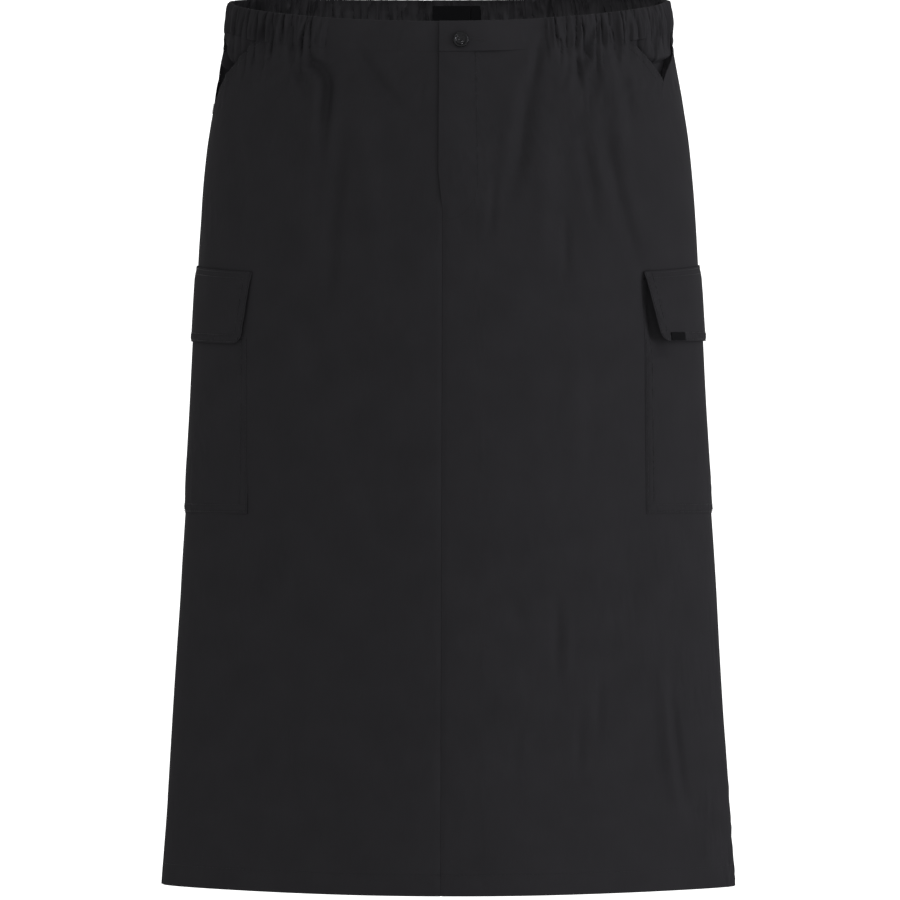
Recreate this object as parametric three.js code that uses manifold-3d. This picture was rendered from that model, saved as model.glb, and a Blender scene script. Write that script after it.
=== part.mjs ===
// Cargo utility skirt, filled out as if worn, with nobody in it.
// Millimetres, +Z up. The front faces -Y and the wearer's left is at +X.
// The origin is the middle of the waist opening, halfway down the waistband at the sides.
import * as THREE from 'three';
import { mergeVertices } from 'three/addons/utils/BufferGeometryUtils.js';
import Module from 'manifold-3d';

// Driving dimensions
const LENGTH = 750;
const BAND_HEIGHT = 25;
const FRONT_DIP = 25.5;
const BACK_RISE = 10;
const SEAM_GAP = 0.3;
const PANEL_WALL = 1.4;
const BAND_WALL = 2.2;
const BAND_PROUD = 0.5;
const BAND_GAP = 0.1; // degrees, each side of a seam in the waistband
const POCKET_WALL = 1.1;
const FLAP_WALL = 1.2;
const TAG_WALL = 1.0;
const WAIST_Z = BAND_HEIGHT / 2;
const HEM_Z = WAIST_Z - LENGTH;
const RADIANS = Math.PI / 180;

// The level section of the skirt at each drop below the side waist edge: half its width, its
// depth to the front and to the back, and how far its two sides are drawn in to a narrow edge.
const SECTIONS = [
  { drop: -12, halfWidth: 183.5, front: 105, back: 99, pinch: 0.04 },
  { drop: 29, halfWidth: 189, front: 108, back: 102, pinch: 0.04 },
  { drop: 75, halfWidth: 197, front: 113, back: 110, pinch: 0.05 },
  { drop: 126, halfWidth: 204.8, front: 118, back: 119, pinch: 0.07 },
  { drop: 202, halfWidth: 211, front: 123, back: 127, pinch: 0.12 },
  { drop: 304, halfWidth: 216, front: 125, back: 129, pinch: 0.19 },
  { drop: 457, halfWidth: 224.8, front: 122, back: 123, pinch: 0.29 },
  { drop: 750, halfWidth: 243.8, front: 115, back: 110, pinch: 0.45 },
];

// Where each side seam runs, in degrees round from the front centre.
const SEAM_LEFT = [
  { drop: 0, angle: 86 },
  { drop: 43, angle: 83 },
  { drop: 50, angle: 77 },
  { drop: 56, angle: 72.6 },
  { drop: 66, angle: 68 },
  { drop: 76, angle: 67 },
  { drop: 134, angle: 76 },
  { drop: 224, angle: 86 },
  { drop: 434, angle: 88.5 },
  { drop: 750, angle: 90 },
];
const SEAM_RIGHT = [
  { drop: 0, angle: 88 },
  { drop: 72, angle: 87 },
  { drop: 224, angle: 88 },
  { drop: 750, angle: 90 },
];

// Stretches of elastic, and how many gathers each has.
const GATHERS = [
  { from: -90, to: -31.5, count: 14 },
  { from: 27, to: 90, count: 18 },
  { from: 90, to: 270, count: 56 },
];
const GATHER_SWELL = 2.0;
const GATHER_REACH = 34;
const GATHER_SHARES = [1.0, 0.78, 1.22, 0.9, 1.12, 0.84, 1.14];
const GATHER_COLUMNS = [0, 1 / 3, 2 / 3];

// Folds that fall from the gathers. Each starts at the angle `at`, leans by `lean` on its way
// from `top` to `bottom` below the waist edge, and stands `height` out of the cloth.
const FOLDS = [
  { at: -50, lean: 4, top: 25, bottom: 110, half: 3.5, height: 2.2 },
  { at: -38.7, lean: 13, top: 25, bottom: 205, half: 4, height: 2.8 },
  { at: -24.8, lean: 11, top: 25, bottom: 120, half: 4, height: 2 },
  { at: 23.7, lean: -4, top: 25, bottom: 150, half: 4, height: 2 },
  { at: 38, lean: -3, top: 25, bottom: 110, half: 3.5, height: 3 },
  { at: 48, lean: -5, top: 45, bottom: 190, half: 3.5, height: 2 },
  { at: 58, lean: 2, top: 60, bottom: 160, half: 3.5, height: 2 },
  { at: 112, lean: 5, top: 25, bottom: 150, half: 4, height: 2.4 },
  { at: 131, lean: 3, top: 25, bottom: 120, half: 3.5, height: 2 },
  { at: 147, lean: 5, top: 25, bottom: 190, half: 4, height: 2.8 },
  { at: 164, lean: 2, top: 25, bottom: 110, half: 3.5, height: 2 },
  { at: 181, lean: -2, top: 25, bottom: 165, half: 4, height: 2.4 },
  { at: 199, lean: -3, top: 25, bottom: 120, half: 3.5, height: 2 },
  { at: 214, lean: -5, top: 25, bottom: 205, half: 4, height: 2.8 },
  { at: 233, lean: -2, top: 25, bottom: 125, half: 3.5, height: 2.2 },
  { at: 250, lean: -4, top: 25, bottom: 160, half: 4, height: 2.4 },
];

// Levels of the panels' rows, as depths below the waist edge. Rows down to LAST_FINE carry
// every gather, and the rows below them only the folds.
const LEVELS = [
  BAND_HEIGHT, 36, 48, 58, 66, 78, 92, 110, 130, 148, 165, 190, 222, 290, 360, 432, 530, 640, LENGTH,
];
const LAST_FINE = 48;
const PLAIN_STEP = 360 / 84;

// The fly: the left front laps over the right front, and is free of it down to `foot`.
const FLY = { lap: 1, under: 2.5, fade: 13, straight: 130, closed: 148, foot: 165 };
const FLY_LIFT = PANEL_WALL + SEAM_GAP;
const BAND_LAP = { under: 8.6, full: 9, fade: 22 };
const BAND_LIFT = BAND_WALL + SEAM_GAP;
const CENTRE_DRIFT = 0.5;

// The slanted mouths of the hip pockets: where each leaves the waistband and meets its seam.
const HIP_LEFT = { top: 53.2, foot: 66, under: 3.5 };
const HIP_RIGHT = { top: 55.5, foot: 92, under: 3.5 };
const FACING_BELOW = 20;
const FACING_TUCK = 1.0;
const FACING_GATHERED = 0.45;

// The cargo pockets and their flaps, each wrapped round a side seam.
// Angles are those of the front edge, and the back edge is the same way behind the side.
const CARGO = { top: 238, bottom: 434, rows: 6 };
const CARGO_LEFT = { front: 51.9, foot: 48.8 };
const CARGO_RIGHT = { front: 50.9, foot: 47.8 };
const FLAP = { top: 224, bottom: 288, corner: 9, rows: 4, over: 236, loose: 110, looser: 60 };
const FLAP_LEFT = { front: 51.5, slant: 4.2, dip: 8, bottomDip: 2, standOff: 2.4 };
const FLAP_RIGHT = { front: 49.3, slant: 3, dip: 8, bottomDip: 4, standOff: 1 };
const CORNER_TURNS = [35, 65, 84];
const TAG = { from: 59.2, to: 65.6, top: 280.4, bottom: 287.2 };

// Sewn inside the back of the waistband.
const LABEL = { from: 175, to: 185.2, top: 5, bottom: 18 };
const SIZE_TAB = { from: 172.3, to: 174.6, top: 5, bottom: 17 };

// The metal button and the keyhole buttonhole that it stands in.
const BUTTON = {
  angle: 4.3, below: 15.5, diameter: 13, shank: 3, clear: 0.8, thick: 3,
  bevel: 1, round: 0.6, rim: 1.5, dish: 0.8, hub: 2.1, lip: 0.7,
};
const BUTTONHOLE = { eyelet: 4.2, slot: 1.4, length: 19 };

// Smooth curve through one column of a table whose rows are in order of drop.
function along(table, column, drop) {
  const last = table.length - 1;
  const at = THREE.MathUtils.clamp(drop, table[0].drop, table[last].drop);
  let i = 0;
  while (i < last - 1 && at > table[i + 1].drop) i += 1;
  const slope = (k) => {
    const before = table[Math.max(k - 1, 0)];
    const after = table[Math.min(k + 1, last)];
    return (after[column] - before[column]) / (after.drop - before.drop);
  };
  const step = table[i + 1].drop - table[i].drop;
  const s = (at - table[i].drop) / step;
  return (1 + 2 * s) * (1 - s) ** 2 * table[i][column]
    + s * s * (3 - 2 * s) * table[i + 1][column]
    + s * (1 - s) ** 2 * step * slope(i)
    - s * s * (1 - s) * step * slope(i + 1);
}

// Height of the waist edge: low at the front centre and high at the back.
function waistEdge(angle) {
  const c = Math.cos(angle * RADIANS);
  return WAIST_Z - c * (FRONT_DIP + BACK_RISE) / 2 - c * c * (FRONT_DIP - BACK_RISE) / 2;
}

// Height of a level of the panels. The levels run with the waist edge at the top and are
// flat at the hem.
function levelHeight(angle, level) {
  const seam = waistEdge(angle) - BAND_HEIGHT - SEAM_GAP;
  const share = (level - LEVELS[0]) / (LENGTH - LEVELS[0]);
  return THREE.MathUtils.lerp(seam, HEM_Z, share);
}

function sectionPoint(angle, drop) {
  const s = Math.sin(angle * RADIANS);
  const c = Math.cos(angle * RADIANS);
  const depth = along(SECTIONS, c > 0 ? 'front' : 'back', drop);
  const drawn = 1 - along(SECTIONS, 'pinch', drop) * s * s;
  return new THREE.Vector2(along(SECTIONS, 'halfWidth', drop) * s, -depth * c * drawn);
}

// Direction along the section, in millimetres for each degree.
function sectionRun(angle, drop) {
  const step = 0.5;
  const ahead = sectionPoint(angle + step, drop);
  return ahead.sub(sectionPoint(angle - step, drop)).divideScalar(2 * step);
}

function degreesFor(length, angle, z) {
  return length / sectionRun(angle, WAIST_Z - z).length();
}

// Angles of the creases between gathers, evenly uneven along the waist edge.
function creaseAngles({ from, to, count }) {
  const step = 0.5;
  const arcs = [{ angle: from, arc: 0 }];
  for (let angle = from; angle < to - step / 2; angle += step) {
    const run = sectionRun(angle + step / 2, WAIST_Z).length() * step;
    arcs.push({ angle: angle + step, arc: arcs[arcs.length - 1].arc + run });
  }
  const shares = [];
  for (let i = 0; i < count; i += 1) shares.push(GATHER_SHARES[i % GATHER_SHARES.length]);
  const whole = shares.reduce((sum, share) => sum + share, 0);
  const total = arcs[arcs.length - 1].arc;
  const angles = [from];
  let sum = 0;
  for (const share of shares) {
    sum += share;
    const wanted = (sum / whole) * total;
    const k = Math.max(1, arcs.findIndex((row) => row.arc >= wanted - 1e-6));
    const s = (wanted - arcs[k - 1].arc) / (arcs[k].arc - arcs[k - 1].arc);
    angles.push(THREE.MathUtils.lerp(arcs[k - 1].angle, arcs[k].angle, s));
  }
  return angles;
}

const CREASES = GATHERS.map(creaseAngles);

// How far the gathers stand out: full in the waistband, and dying away under it.
function gatherHeight(angle, z) {
  const turned = angle > 270 ? angle - 360 : angle;
  const creases = CREASES.find((row) => turned >= row[0] && turned <= row[row.length - 1]);
  if (!creases) return 0;
  const next = Math.max(1, creases.findIndex((crease) => crease >= turned));
  const s = (turned - creases[next - 1]) / (creases[next] - creases[next - 1]);
  const below = Math.max(0, waistEdge(angle) - z - BAND_HEIGHT);
  const fade = Math.max(0, 1 - below / GATHER_REACH) ** 2;
  const swell = GATHER_SWELL * GATHER_SHARES[(next * 3) % GATHER_SHARES.length];
  return swell * fade * Math.sin(Math.PI * s);
}

function foldPlace(fold, level) {
  const s = (level - fold.top) / (fold.bottom - fold.top);
  return { s, centre: fold.at + fold.lean * s };
}

function foldHeight(angle, z) {
  const level = waistEdge(angle) - z;
  let height = 0;
  for (const fold of FOLDS) {
    const { s, centre } = foldPlace(fold, level);
    const across = (angle - centre) / fold.half;
    if (s <= 0 || s >= 1 || Math.abs(across) >= 1) continue;
    height += fold.height * Math.sin(Math.PI * s ** 0.6) * Math.cos(across * Math.PI / 2) ** 2;
  }
  return height;
}

// A point of the cloth, `out` millimetres outside the panels' outer face, with its gathers
// and folds at the share that `gathered` gives.
function clothPoint(angle, z, out, gathered = 1) {
  const drop = WAIST_Z - z;
  const base = sectionPoint(angle, drop);
  const run = sectionRun(angle, drop).normalize();
  const stand = out + gathered * (gatherHeight(angle, z) + foldHeight(angle, z));
  return new THREE.Vector3(base.x + run.y * stand, base.y - run.x * stand, z);
}

// Angles of the columns in a row at one level, the same for every piece.
function columnAngles(level) {
  const near = 0.5 * PLAIN_STEP;
  const chosen = [];
  if (level <= LAST_FINE) {
    for (const creases of CREASES) {
      for (let i = 0; i + 1 < creases.length; i += 1) {
        for (const s of GATHER_COLUMNS) {
          chosen.push(THREE.MathUtils.lerp(creases[i], creases[i + 1], s));
        }
      }
      chosen.push(creases[creases.length - 1]);
    }
  }
  for (const fold of level <= LAST_FINE ? [] : FOLDS) {
    const { s, centre } = foldPlace(fold, level);
    if (s < 0 || s > 1) continue;
    for (const part of [-1, -0.5, 0, 0.5, 1]) chosen.push(centre + part * fold.half);
  }
  const plain = [];
  for (let angle = -90; angle < 270; angle += PLAIN_STEP) {
    if (!chosen.some((other) => Math.abs(other - angle) < near)) plain.push(angle);
  }
  const turn = [...chosen, ...plain].sort((a, b) => a - b);
  const apart = 0.3;
  const kept = turn.filter((angle, i) => i === 0 || angle - turn[i - 1] > apart);
  return [...kept, ...kept.map((angle) => angle + 360)];
}

const COLUMNS = new Map(LEVELS.map((level) => [level, columnAngles(level)]));
const PLAIN_COLUMNS = columnAngles(LENGTH);

// One row of a piece, from one edge to the other, at the height that `heightAt` gives.
function row(from, to, columns, heightAt) {
  const clear = 0.35;
  const inside = columns.filter((angle) => angle > from + clear && angle < to - clear);
  return [from, ...inside, to].map((angle) => ({ angle, z: heightAt(angle) }));
}

// Triangles between two rows, walking both from the same end.
function stitch(upper, lower, keyUpper, keyLower, emit) {
  let i = 0;
  let j = 0;
  while (i < upper.length - 1 || j < lower.length - 1) {
    const upNext = i < upper.length - 1 ? keyUpper(i + 1) : Infinity;
    const lowNext = j < lower.length - 1 ? keyLower(j + 1) : Infinity;
    if (upNext < lowNext) {
      emit(upper[i], lower[j], upper[i + 1]);
      i += 1;
    } else {
      emit(upper[i], lower[j], lower[j + 1]);
      j += 1;
    }
  }
}

// A closed wall of cloth through rows of places, between its outer and inner offsets.
function clothWall(rows, outer, inner, { lift = () => 0, gathered = 1 } = {}) {
  const positions = [];
  const index = [];
  const add = (place, out) => {
    const point = clothPoint(place.angle, place.z, out + lift(place), gathered);
    positions.push(point.x, point.y, point.z);
    return positions.length / 3 - 1;
  };
  const outside = rows.map((places) => places.map((place) => add(place, outer)));
  const inside = rows.map((places) => places.map((place) => add(place, inner)));
  for (let k = 0; k + 1 < rows.length; k += 1) {
    const upKey = (i) => rows[k][i].angle;
    const lowKey = (j) => rows[k + 1][j].angle;
    stitch(outside[k], outside[k + 1], upKey, lowKey, (a, b, c) => index.push(a, b, c));
    stitch(inside[k], inside[k + 1], upKey, lowKey, (a, b, c) => index.push(a, c, b));
  }
  const edge = (out, inn) => {
    for (let i = 0; i + 1 < out.length; i += 1) {
      index.push(out[i], out[i + 1], inn[i + 1], out[i], inn[i + 1], inn[i]);
    }
  };
  const first = (list) => list.map((ids) => ids[0]);
  const last = (list) => list.map((ids) => ids[ids.length - 1]);
  edge(outside[0], inside[0]);
  edge([...outside.at(-1)].reverse(), [...inside.at(-1)].reverse());
  edge(first(outside).reverse(), first(inside).reverse());
  edge(last(outside), last(inside));
  const geometry = new THREE.BufferGeometry();
  geometry.setAttribute('position', new THREE.Float32BufferAttribute(positions, 3));
  geometry.setIndex(index);
  return geometry;
}

const seamLeft = (z) => along(SEAM_LEFT, 'angle', WAIST_Z - z);
const seamRight = (z) => -along(SEAM_RIGHT, 'angle', WAIST_Z - z);

// Share of the way from one level to another, held between 0 and 1.
function shareBetween(level, start, end) {
  return THREE.MathUtils.clamp((level - start) / (end - start), 0, 1);
}

// The centre front edges. `lap` is the left front's edge and `under` the right front's.
function lapAngle(level) {
  const free = -FLY.lap * (1 - shareBetween(level, FLY.straight, FLY.foot));
  return free - CENTRE_DRIFT * shareBetween(level, FLY.foot, LENGTH);
}

function underAngle(level) {
  if (level <= FLY.straight) return FLY.under;
  return lapAngle(level) - degreesFor(SEAM_GAP, 0, levelHeight(0, level));
}

// How far the left front is lifted over the right front at the fly.
function flyLift({ angle, z }) {
  const level = LEVELS[0] + (LENGTH - LEVELS[0])
    * (levelHeight(angle, LEVELS[0]) - z) / (levelHeight(angle, LEVELS[0]) - HEM_Z);
  const across = 1 - THREE.MathUtils.smoothstep(angle, FLY.under, FLY.fade);
  return FLY_LIFT * across * (1 - THREE.MathUtils.smoothstep(level, FLY.closed, FLY.foot));
}

function bandLift({ angle }) {
  return BAND_LIFT * (1 - THREE.MathUtils.smoothstep(angle, BAND_LAP.full, BAND_LAP.fade));
}

// A side seam's place at a level, as a plain angle from the front centre.
function seamAngle(level, seam) {
  return Math.abs(seam(levelHeight(90, level)));
}

// The slanted edge of a front panel at a hip pocket, then its side seam.
function sideEdge(level, hip, seam) {
  if (level >= hip.foot) return seamAngle(level, seam);
  const foot = seamAngle(hip.foot, seam);
  return THREE.MathUtils.lerp(hip.top, foot, shareBetween(level, LEVELS[0], hip.foot));
}

function seamGap(angle, level) {
  return degreesFor(SEAM_GAP / 2, angle, levelHeight(angle, level));
}

function frontLeft() {
  const rows = LEVELS.map((level) => {
    const side = sideEdge(level, HIP_LEFT, seamLeft);
    return row(lapAngle(level), side - seamGap(side, level), COLUMNS.get(level),
      (angle) => levelHeight(angle, level));
  });
  return clothWall(rows, 0, -PANEL_WALL, { lift: flyLift });
}

function frontRight() {
  const rows = LEVELS.map((level) => {
    const side = -sideEdge(level, HIP_RIGHT, seamRight);
    return row(side + seamGap(side, level), underAngle(level), COLUMNS.get(level),
      (angle) => levelHeight(angle, level));
  });
  return clothWall(rows, 0, -PANEL_WALL);
}

function backPanel() {
  const rows = LEVELS.map((level) => {
    const left = seamAngle(level, seamLeft);
    const right = 360 - seamAngle(level, seamRight);
    return row(left + seamGap(left, level), right - seamGap(right, level), COLUMNS.get(level),
      (angle) => levelHeight(angle, level));
  });
  return clothWall(rows, 0, -PANEL_WALL);
}

// The cloth seen in a hip pocket's mouth, tucked under the front and the back panel.
function hipFacing(side, hip, seam) {
  const outer = -PANEL_WALL - FACING_TUCK;
  const levels = LEVELS.filter((level) => level <= hip.foot + FACING_BELOW);
  const rows = levels.map((level) => {
    const near = sideEdge(Math.min(level, hip.foot - 1), hip, seam) - hip.under;
    const far = seamAngle(level, seam) + hip.under;
    const columns = COLUMNS.get(level);
    const start = columns.findLast((angle) => angle <= (side > 0 ? near : 360 - far));
    const end = columns.find((angle) => angle >= (side > 0 ? far : 360 - near));
    return row(start, end, columns, (angle) => levelHeight(angle, level));
  });
  return clothWall(rows, outer, outer - PANEL_WALL, { gathered: FACING_GATHERED });
}

// One stretch of the waistband, as two rows that both follow the waist edge.
function waistband(from, to, lift) {
  const columns = COLUMNS.get(LEVELS[0]);
  const rows = [0, BAND_HEIGHT].map((below) => (
    row(from, to, columns, (angle) => waistEdge(angle) - below)));
  return clothWall(rows, BAND_PROUD, BAND_PROUD - BAND_WALL, { lift });
}

// Height on a flap, which dips towards its front edge by the millimetres of `dip`.
function dippedHeight(angle, drop, dip, style) {
  const forward = Math.max(0, (90 - angle) / (90 - style.front));
  return WAIST_Z - drop - dip * forward;
}

// Mirrors the rows of a left-hand piece to the wearer's right.
function toSide(rows, side) {
  if (side > 0) return rows;
  return rows.map((places) => places.map(({ angle, z }) => ({ angle: 360 - angle, z })).reverse());
}

function cargoPocket(side, { front, foot }) {
  const rows = [];
  for (let k = 0; k <= CARGO.rows; k += 1) {
    const drop = THREE.MathUtils.lerp(CARGO.top, CARGO.bottom, k / CARGO.rows);
    const edge = THREE.MathUtils.lerp(front, foot, k / CARGO.rows);
    rows.push(row(edge, 180 - edge, PLAIN_COLUMNS, () => WAIST_Z - drop));
  }
  return clothWall(toSide(rows, side), SEAM_GAP + POCKET_WALL, SEAM_GAP);
}

// How far a flap's edge has come in at a share of its depth, with its rounded corner.
function flapInset(below, style) {
  const depth = FLAP.bottom - FLAP.top;
  const into = Math.max(0, below - (depth - FLAP.corner));
  const round = FLAP.corner - Math.sqrt(Math.max(0, FLAP.corner ** 2 - into ** 2));
  return style.slant * below / depth + degreesFor(round, style.front, WAIST_Z - FLAP.bottom);
}

function flapRows(style) {
  const depth = FLAP.bottom - FLAP.top;
  const belows = [];
  for (let k = 0; k <= FLAP.rows; k += 1) belows.push((depth - FLAP.corner) * k / FLAP.rows);
  for (const turn of CORNER_TURNS) {
    belows.push(depth - FLAP.corner + FLAP.corner * Math.sin(turn * RADIANS));
  }
  return belows.map((below) => {
    const edge = style.front + flapInset(below, style);
    const rowDip = THREE.MathUtils.lerp(style.dip, style.bottomDip, below / depth);
    return row(edge, 180 - edge, PLAIN_COLUMNS,
      (angle) => dippedHeight(angle, FLAP.top + below, rowDip, style));
  });
}

// A flap lies on the panel at its seam, rides over the pocket and stands off at its foot.
function flapLift(style) {
  return ({ angle, z }) => {
    const drop = WAIST_Z - z;
    const over = THREE.MathUtils.smoothstep(drop, FLAP.top, FLAP.over);
    const down = shareBetween(drop, FLAP.top, FLAP.bottom);
    const turned = angle > 180 ? 360 - angle : angle;
    const forward = shareBetween(turned, FLAP.loose, FLAP.looser);
    return over * (POCKET_WALL + SEAM_GAP) + style.standOff * down * down * forward;
  };
}

function flap(side, style) {
  const outer = SEAM_GAP + FLAP_WALL;
  return clothWall(toSide(flapRows(style), side), outer, SEAM_GAP, { lift: flapLift(style) });
}

// A small blank strip woven flat, laid on what carries it by its offset.
function blankStrip({ from, to, top, bottom }, edgeHeight, inner, options) {
  const rows = [top, bottom].map((below) => (
    row(from, to, PLAIN_COLUMNS, (angle) => edgeHeight(angle) - below)));
  return clothWall(rows, inner + TAG_WALL, inner, options);
}

function flapTag() {
  const inner = SEAM_GAP + FLAP_WALL + SEAM_GAP;
  const edge = (angle) => dippedHeight(angle, 0, FLAP_LEFT.bottomDip, FLAP_LEFT);
  return blankStrip(TAG, edge, inner, { lift: flapLift(FLAP_LEFT) });
}

function waistLabel(size) {
  const inner = BAND_PROUD - BAND_WALL - SEAM_GAP - TAG_WALL;
  return blankStrip(size, () => WAIST_Z + BACK_RISE, inner, { gathered: 0 });
}

// Where the button stands, and which way it faces.
function buttonSeat(out) {
  const z = waistEdge(BUTTON.angle) - BUTTON.below;
  const run = sectionRun(BUTTON.angle, WAIST_Z - z).normalize();
  const seat = new THREE.Group();
  seat.position.copy(clothPoint(BUTTON.angle, z, out, 0));
  const facing = new THREE.Vector3(run.y, -run.x, 0);
  const across = new THREE.Vector3(run.x, run.y, 0);
  const up = new THREE.Vector3(0, 0, 1);
  seat.setRotationFromMatrix(new THREE.Matrix4().makeBasis(across, facing, up.negate()));
  seat.updateMatrixWorld();
  return seat;
}

// A dished metal head on a round shank, turned about its own axis.
function buttonGeometry() {
  const head = BUTTON.diameter / 2;
  const stem = BUTTON.shank / 2;
  const neck = BAND_LIFT + BUTTON.clear;
  const top = neck + BUTTON.thick;
  const face = head - BUTTON.rim;
  const dish = top - BUTTON.dish;
  const profile = [
    [0, 0], [stem, 0], [stem, neck], [head - BUTTON.bevel, neck], [head, neck + BUTTON.bevel],
    [head, top - BUTTON.round], [head - BUTTON.round, top], [face, top],
    [face - BUTTON.lip, dish], [BUTTON.hub + BUTTON.lip, dish],
    [BUTTON.hub, dish - BUTTON.lip], [0, dish - BUTTON.lip],
  ];
  return new THREE.LatheGeometry(profile.map(([r, y]) => new THREE.Vector2(r, y)), 24);
}

// A keyhole-shaped cutter along Y: a round eyelet with a slot away from the overlap's edge.
function keyhole() {
  const eye = BUTTONHOLE.eyelet / 2;
  const slot = BUTTONHOLE.slot / 2;
  const turn = Math.asin(slot / eye);
  const shape = new THREE.Shape();
  shape.absarc(0, 0, eye, turn, 2 * Math.PI - turn, false);
  shape.lineTo(BUTTONHOLE.length, -slot);
  shape.lineTo(BUTTONHOLE.length, slot);
  shape.closePath();
  const depth = 6 * BAND_WALL;
  const cutter = new THREE.ExtrudeGeometry(shape, { depth, bevelEnabled: false, curveSegments: 6 });
  cutter.translate(0, 0, -depth / 2);
  cutter.rotateX(Math.PI / 2);
  return cutter;
}

const wasm = await Module();
wasm.setup();

function toManifold(geometry) {
  const bare = geometry.clone();
  bare.deleteAttribute('normal');
  bare.deleteAttribute('uv');
  const merged = mergeVertices(bare, 1e-4);
  return new wasm.Manifold(new wasm.Mesh({
    numProp: 3,
    vertProperties: merged.attributes.position.array,
    triVerts: new Uint32Array(merged.index.array),
  }));
}

function fromManifold(solid) {
  const mesh = solid.getMesh();
  const geometry = new THREE.BufferGeometry();
  geometry.setAttribute('position', new THREE.BufferAttribute(mesh.vertProperties, 3));
  geometry.setIndex(new THREE.BufferAttribute(mesh.triVerts, 1));
  return geometry;
}

// The upper end of the waistband, with the buttonhole cut through it.
function bandWithButtonhole() {
  const band = waistband(-FLY.lap, seamLeft(0) - BAND_GAP, bandLift);
  const cutter = keyhole().applyMatrix4(buttonSeat(BAND_LIFT).matrixWorld);
  return fromManifold(toManifold(band).subtract(toManifold(cutter)));
}

// Dark cloth and dark metal, in the colours of the real thing.
const cloth = new THREE.MeshStandardMaterial({ color: 0x242426, roughness: 0.85, metalness: 0 });
const label = new THREE.MeshStandardMaterial({ color: 0x0c0c0d, roughness: 0.7, metalness: 0 });
const metal = new THREE.MeshStandardMaterial({ color: 0x1b1b1d, roughness: 0.3, metalness: 0.9 });

const skirt = new THREE.Group();

function addPiece(parent, name, geometry, material) {
  geometry.computeVertexNormals();
  const mesh = new THREE.Mesh(geometry, material);
  mesh.name = name;
  parent.add(mesh);
}

addPiece(skirt, 'front_panel_left', frontLeft(), cloth);
addPiece(skirt, 'front_panel_right', frontRight(), cloth);
addPiece(skirt, 'back_panel', backPanel(), cloth);
addPiece(skirt, 'waistband_front_left', bandWithButtonhole(), cloth);
addPiece(skirt, 'waistband_front_right', waistband(seamRight(0) + BAND_GAP, BAND_LAP.under), cloth);
const backBand = waistband(seamLeft(0) + BAND_GAP, seamRight(0) + 360 - BAND_GAP);
addPiece(skirt, 'waistband_back', backBand, cloth);
addPiece(skirt, 'hip_facing_left', hipFacing(1, HIP_LEFT, seamLeft), cloth);
addPiece(skirt, 'hip_facing_right', hipFacing(-1, HIP_RIGHT, seamRight), cloth);
addPiece(skirt, 'cargo_pocket_left', cargoPocket(1, CARGO_LEFT), cloth);
addPiece(skirt, 'cargo_pocket_right', cargoPocket(-1, CARGO_RIGHT), cloth);
addPiece(skirt, 'pocket_flap_left', flap(1, FLAP_LEFT), cloth);
addPiece(skirt, 'pocket_flap_right', flap(-1, FLAP_RIGHT), cloth);
addPiece(skirt, 'flap_tag', flapTag(), label);
addPiece(skirt, 'waist_label', waistLabel(LABEL), label);
addPiece(skirt, 'size_tab', waistLabel(SIZE_TAB), label);

// The foot of the button's shank is just clear of the under end of the waistband.
const seat = buttonSeat(BAND_PROUD + SEAM_GAP);
addPiece(seat, 'waist_button', buttonGeometry(), metal);
skirt.add(seat);

export default skirt;
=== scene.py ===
# %% [markdown]
# # A cargo utility skirt
# The real skirt is a tube of plain dark cloth: two fronts, a back, a waistband gathered on
# elastic, slanted hip pockets and two flapped cargo pockets. Nobody wears it here, but it keeps
# the rounded form that it has on a body. Each piece of cloth is made as one thin wall, from a
# formula for the skirt's level sections, and then creased by a short table of folds.

# %% Load the frame
import math

import bmesh
import bpy
import numpy as np
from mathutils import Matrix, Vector


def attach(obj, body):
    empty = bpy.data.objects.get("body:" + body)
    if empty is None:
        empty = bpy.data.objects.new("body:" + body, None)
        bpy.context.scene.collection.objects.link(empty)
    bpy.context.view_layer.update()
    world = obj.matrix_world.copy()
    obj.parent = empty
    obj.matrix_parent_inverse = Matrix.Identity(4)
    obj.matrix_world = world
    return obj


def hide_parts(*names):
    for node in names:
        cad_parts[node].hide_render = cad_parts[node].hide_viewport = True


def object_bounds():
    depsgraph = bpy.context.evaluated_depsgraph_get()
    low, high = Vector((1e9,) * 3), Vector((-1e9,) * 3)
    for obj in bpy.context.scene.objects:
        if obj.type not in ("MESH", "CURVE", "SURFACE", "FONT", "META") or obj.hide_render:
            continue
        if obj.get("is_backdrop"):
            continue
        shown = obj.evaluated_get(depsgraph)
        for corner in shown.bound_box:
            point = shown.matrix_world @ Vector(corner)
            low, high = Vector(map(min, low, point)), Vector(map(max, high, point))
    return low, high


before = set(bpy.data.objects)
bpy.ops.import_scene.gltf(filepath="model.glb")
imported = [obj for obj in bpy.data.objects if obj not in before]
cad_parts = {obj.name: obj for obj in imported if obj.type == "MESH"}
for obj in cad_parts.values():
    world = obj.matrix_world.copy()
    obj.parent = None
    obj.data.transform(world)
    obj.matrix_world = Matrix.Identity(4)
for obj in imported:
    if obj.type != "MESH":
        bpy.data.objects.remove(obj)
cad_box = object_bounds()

scene = bpy.context.scene
print("CAD nodes:", len(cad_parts))

# %% [markdown]
# ## Sizes
# All the lengths below are millimetres and all the angles are degrees, because that is how a
# pattern cutter reads them. Meshes are written in metres, so one function does that change.
# An angle of 0 is the front centre and 90 is the wearer's left side, on the right of the view.

# %% Driving sizes
MM = 0.001
LENGTH = 750.0
BAND_HEIGHT = 25.0
FRONT_DIP = 25.5
BACK_RISE = 10.0
WAIST_Z = BAND_HEIGHT / 2
HEM_Z = WAIST_Z - LENGTH
SEAM_GAP = 0.3
BAND_TUCK = 1.5
HEM_TURN = 18.0
CLOTH_THICK = 0.9
BAND_THICK = 2.2
BAND_PROUD = 0.45

# %% [markdown]
# The first table gives the skirt's level sections, each by its drop below the waist edge at the
# side: half its width, its depth to the front and to the back, and how far its sides draw in.
# The other two give the angle of each side seam at a few drops.

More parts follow.
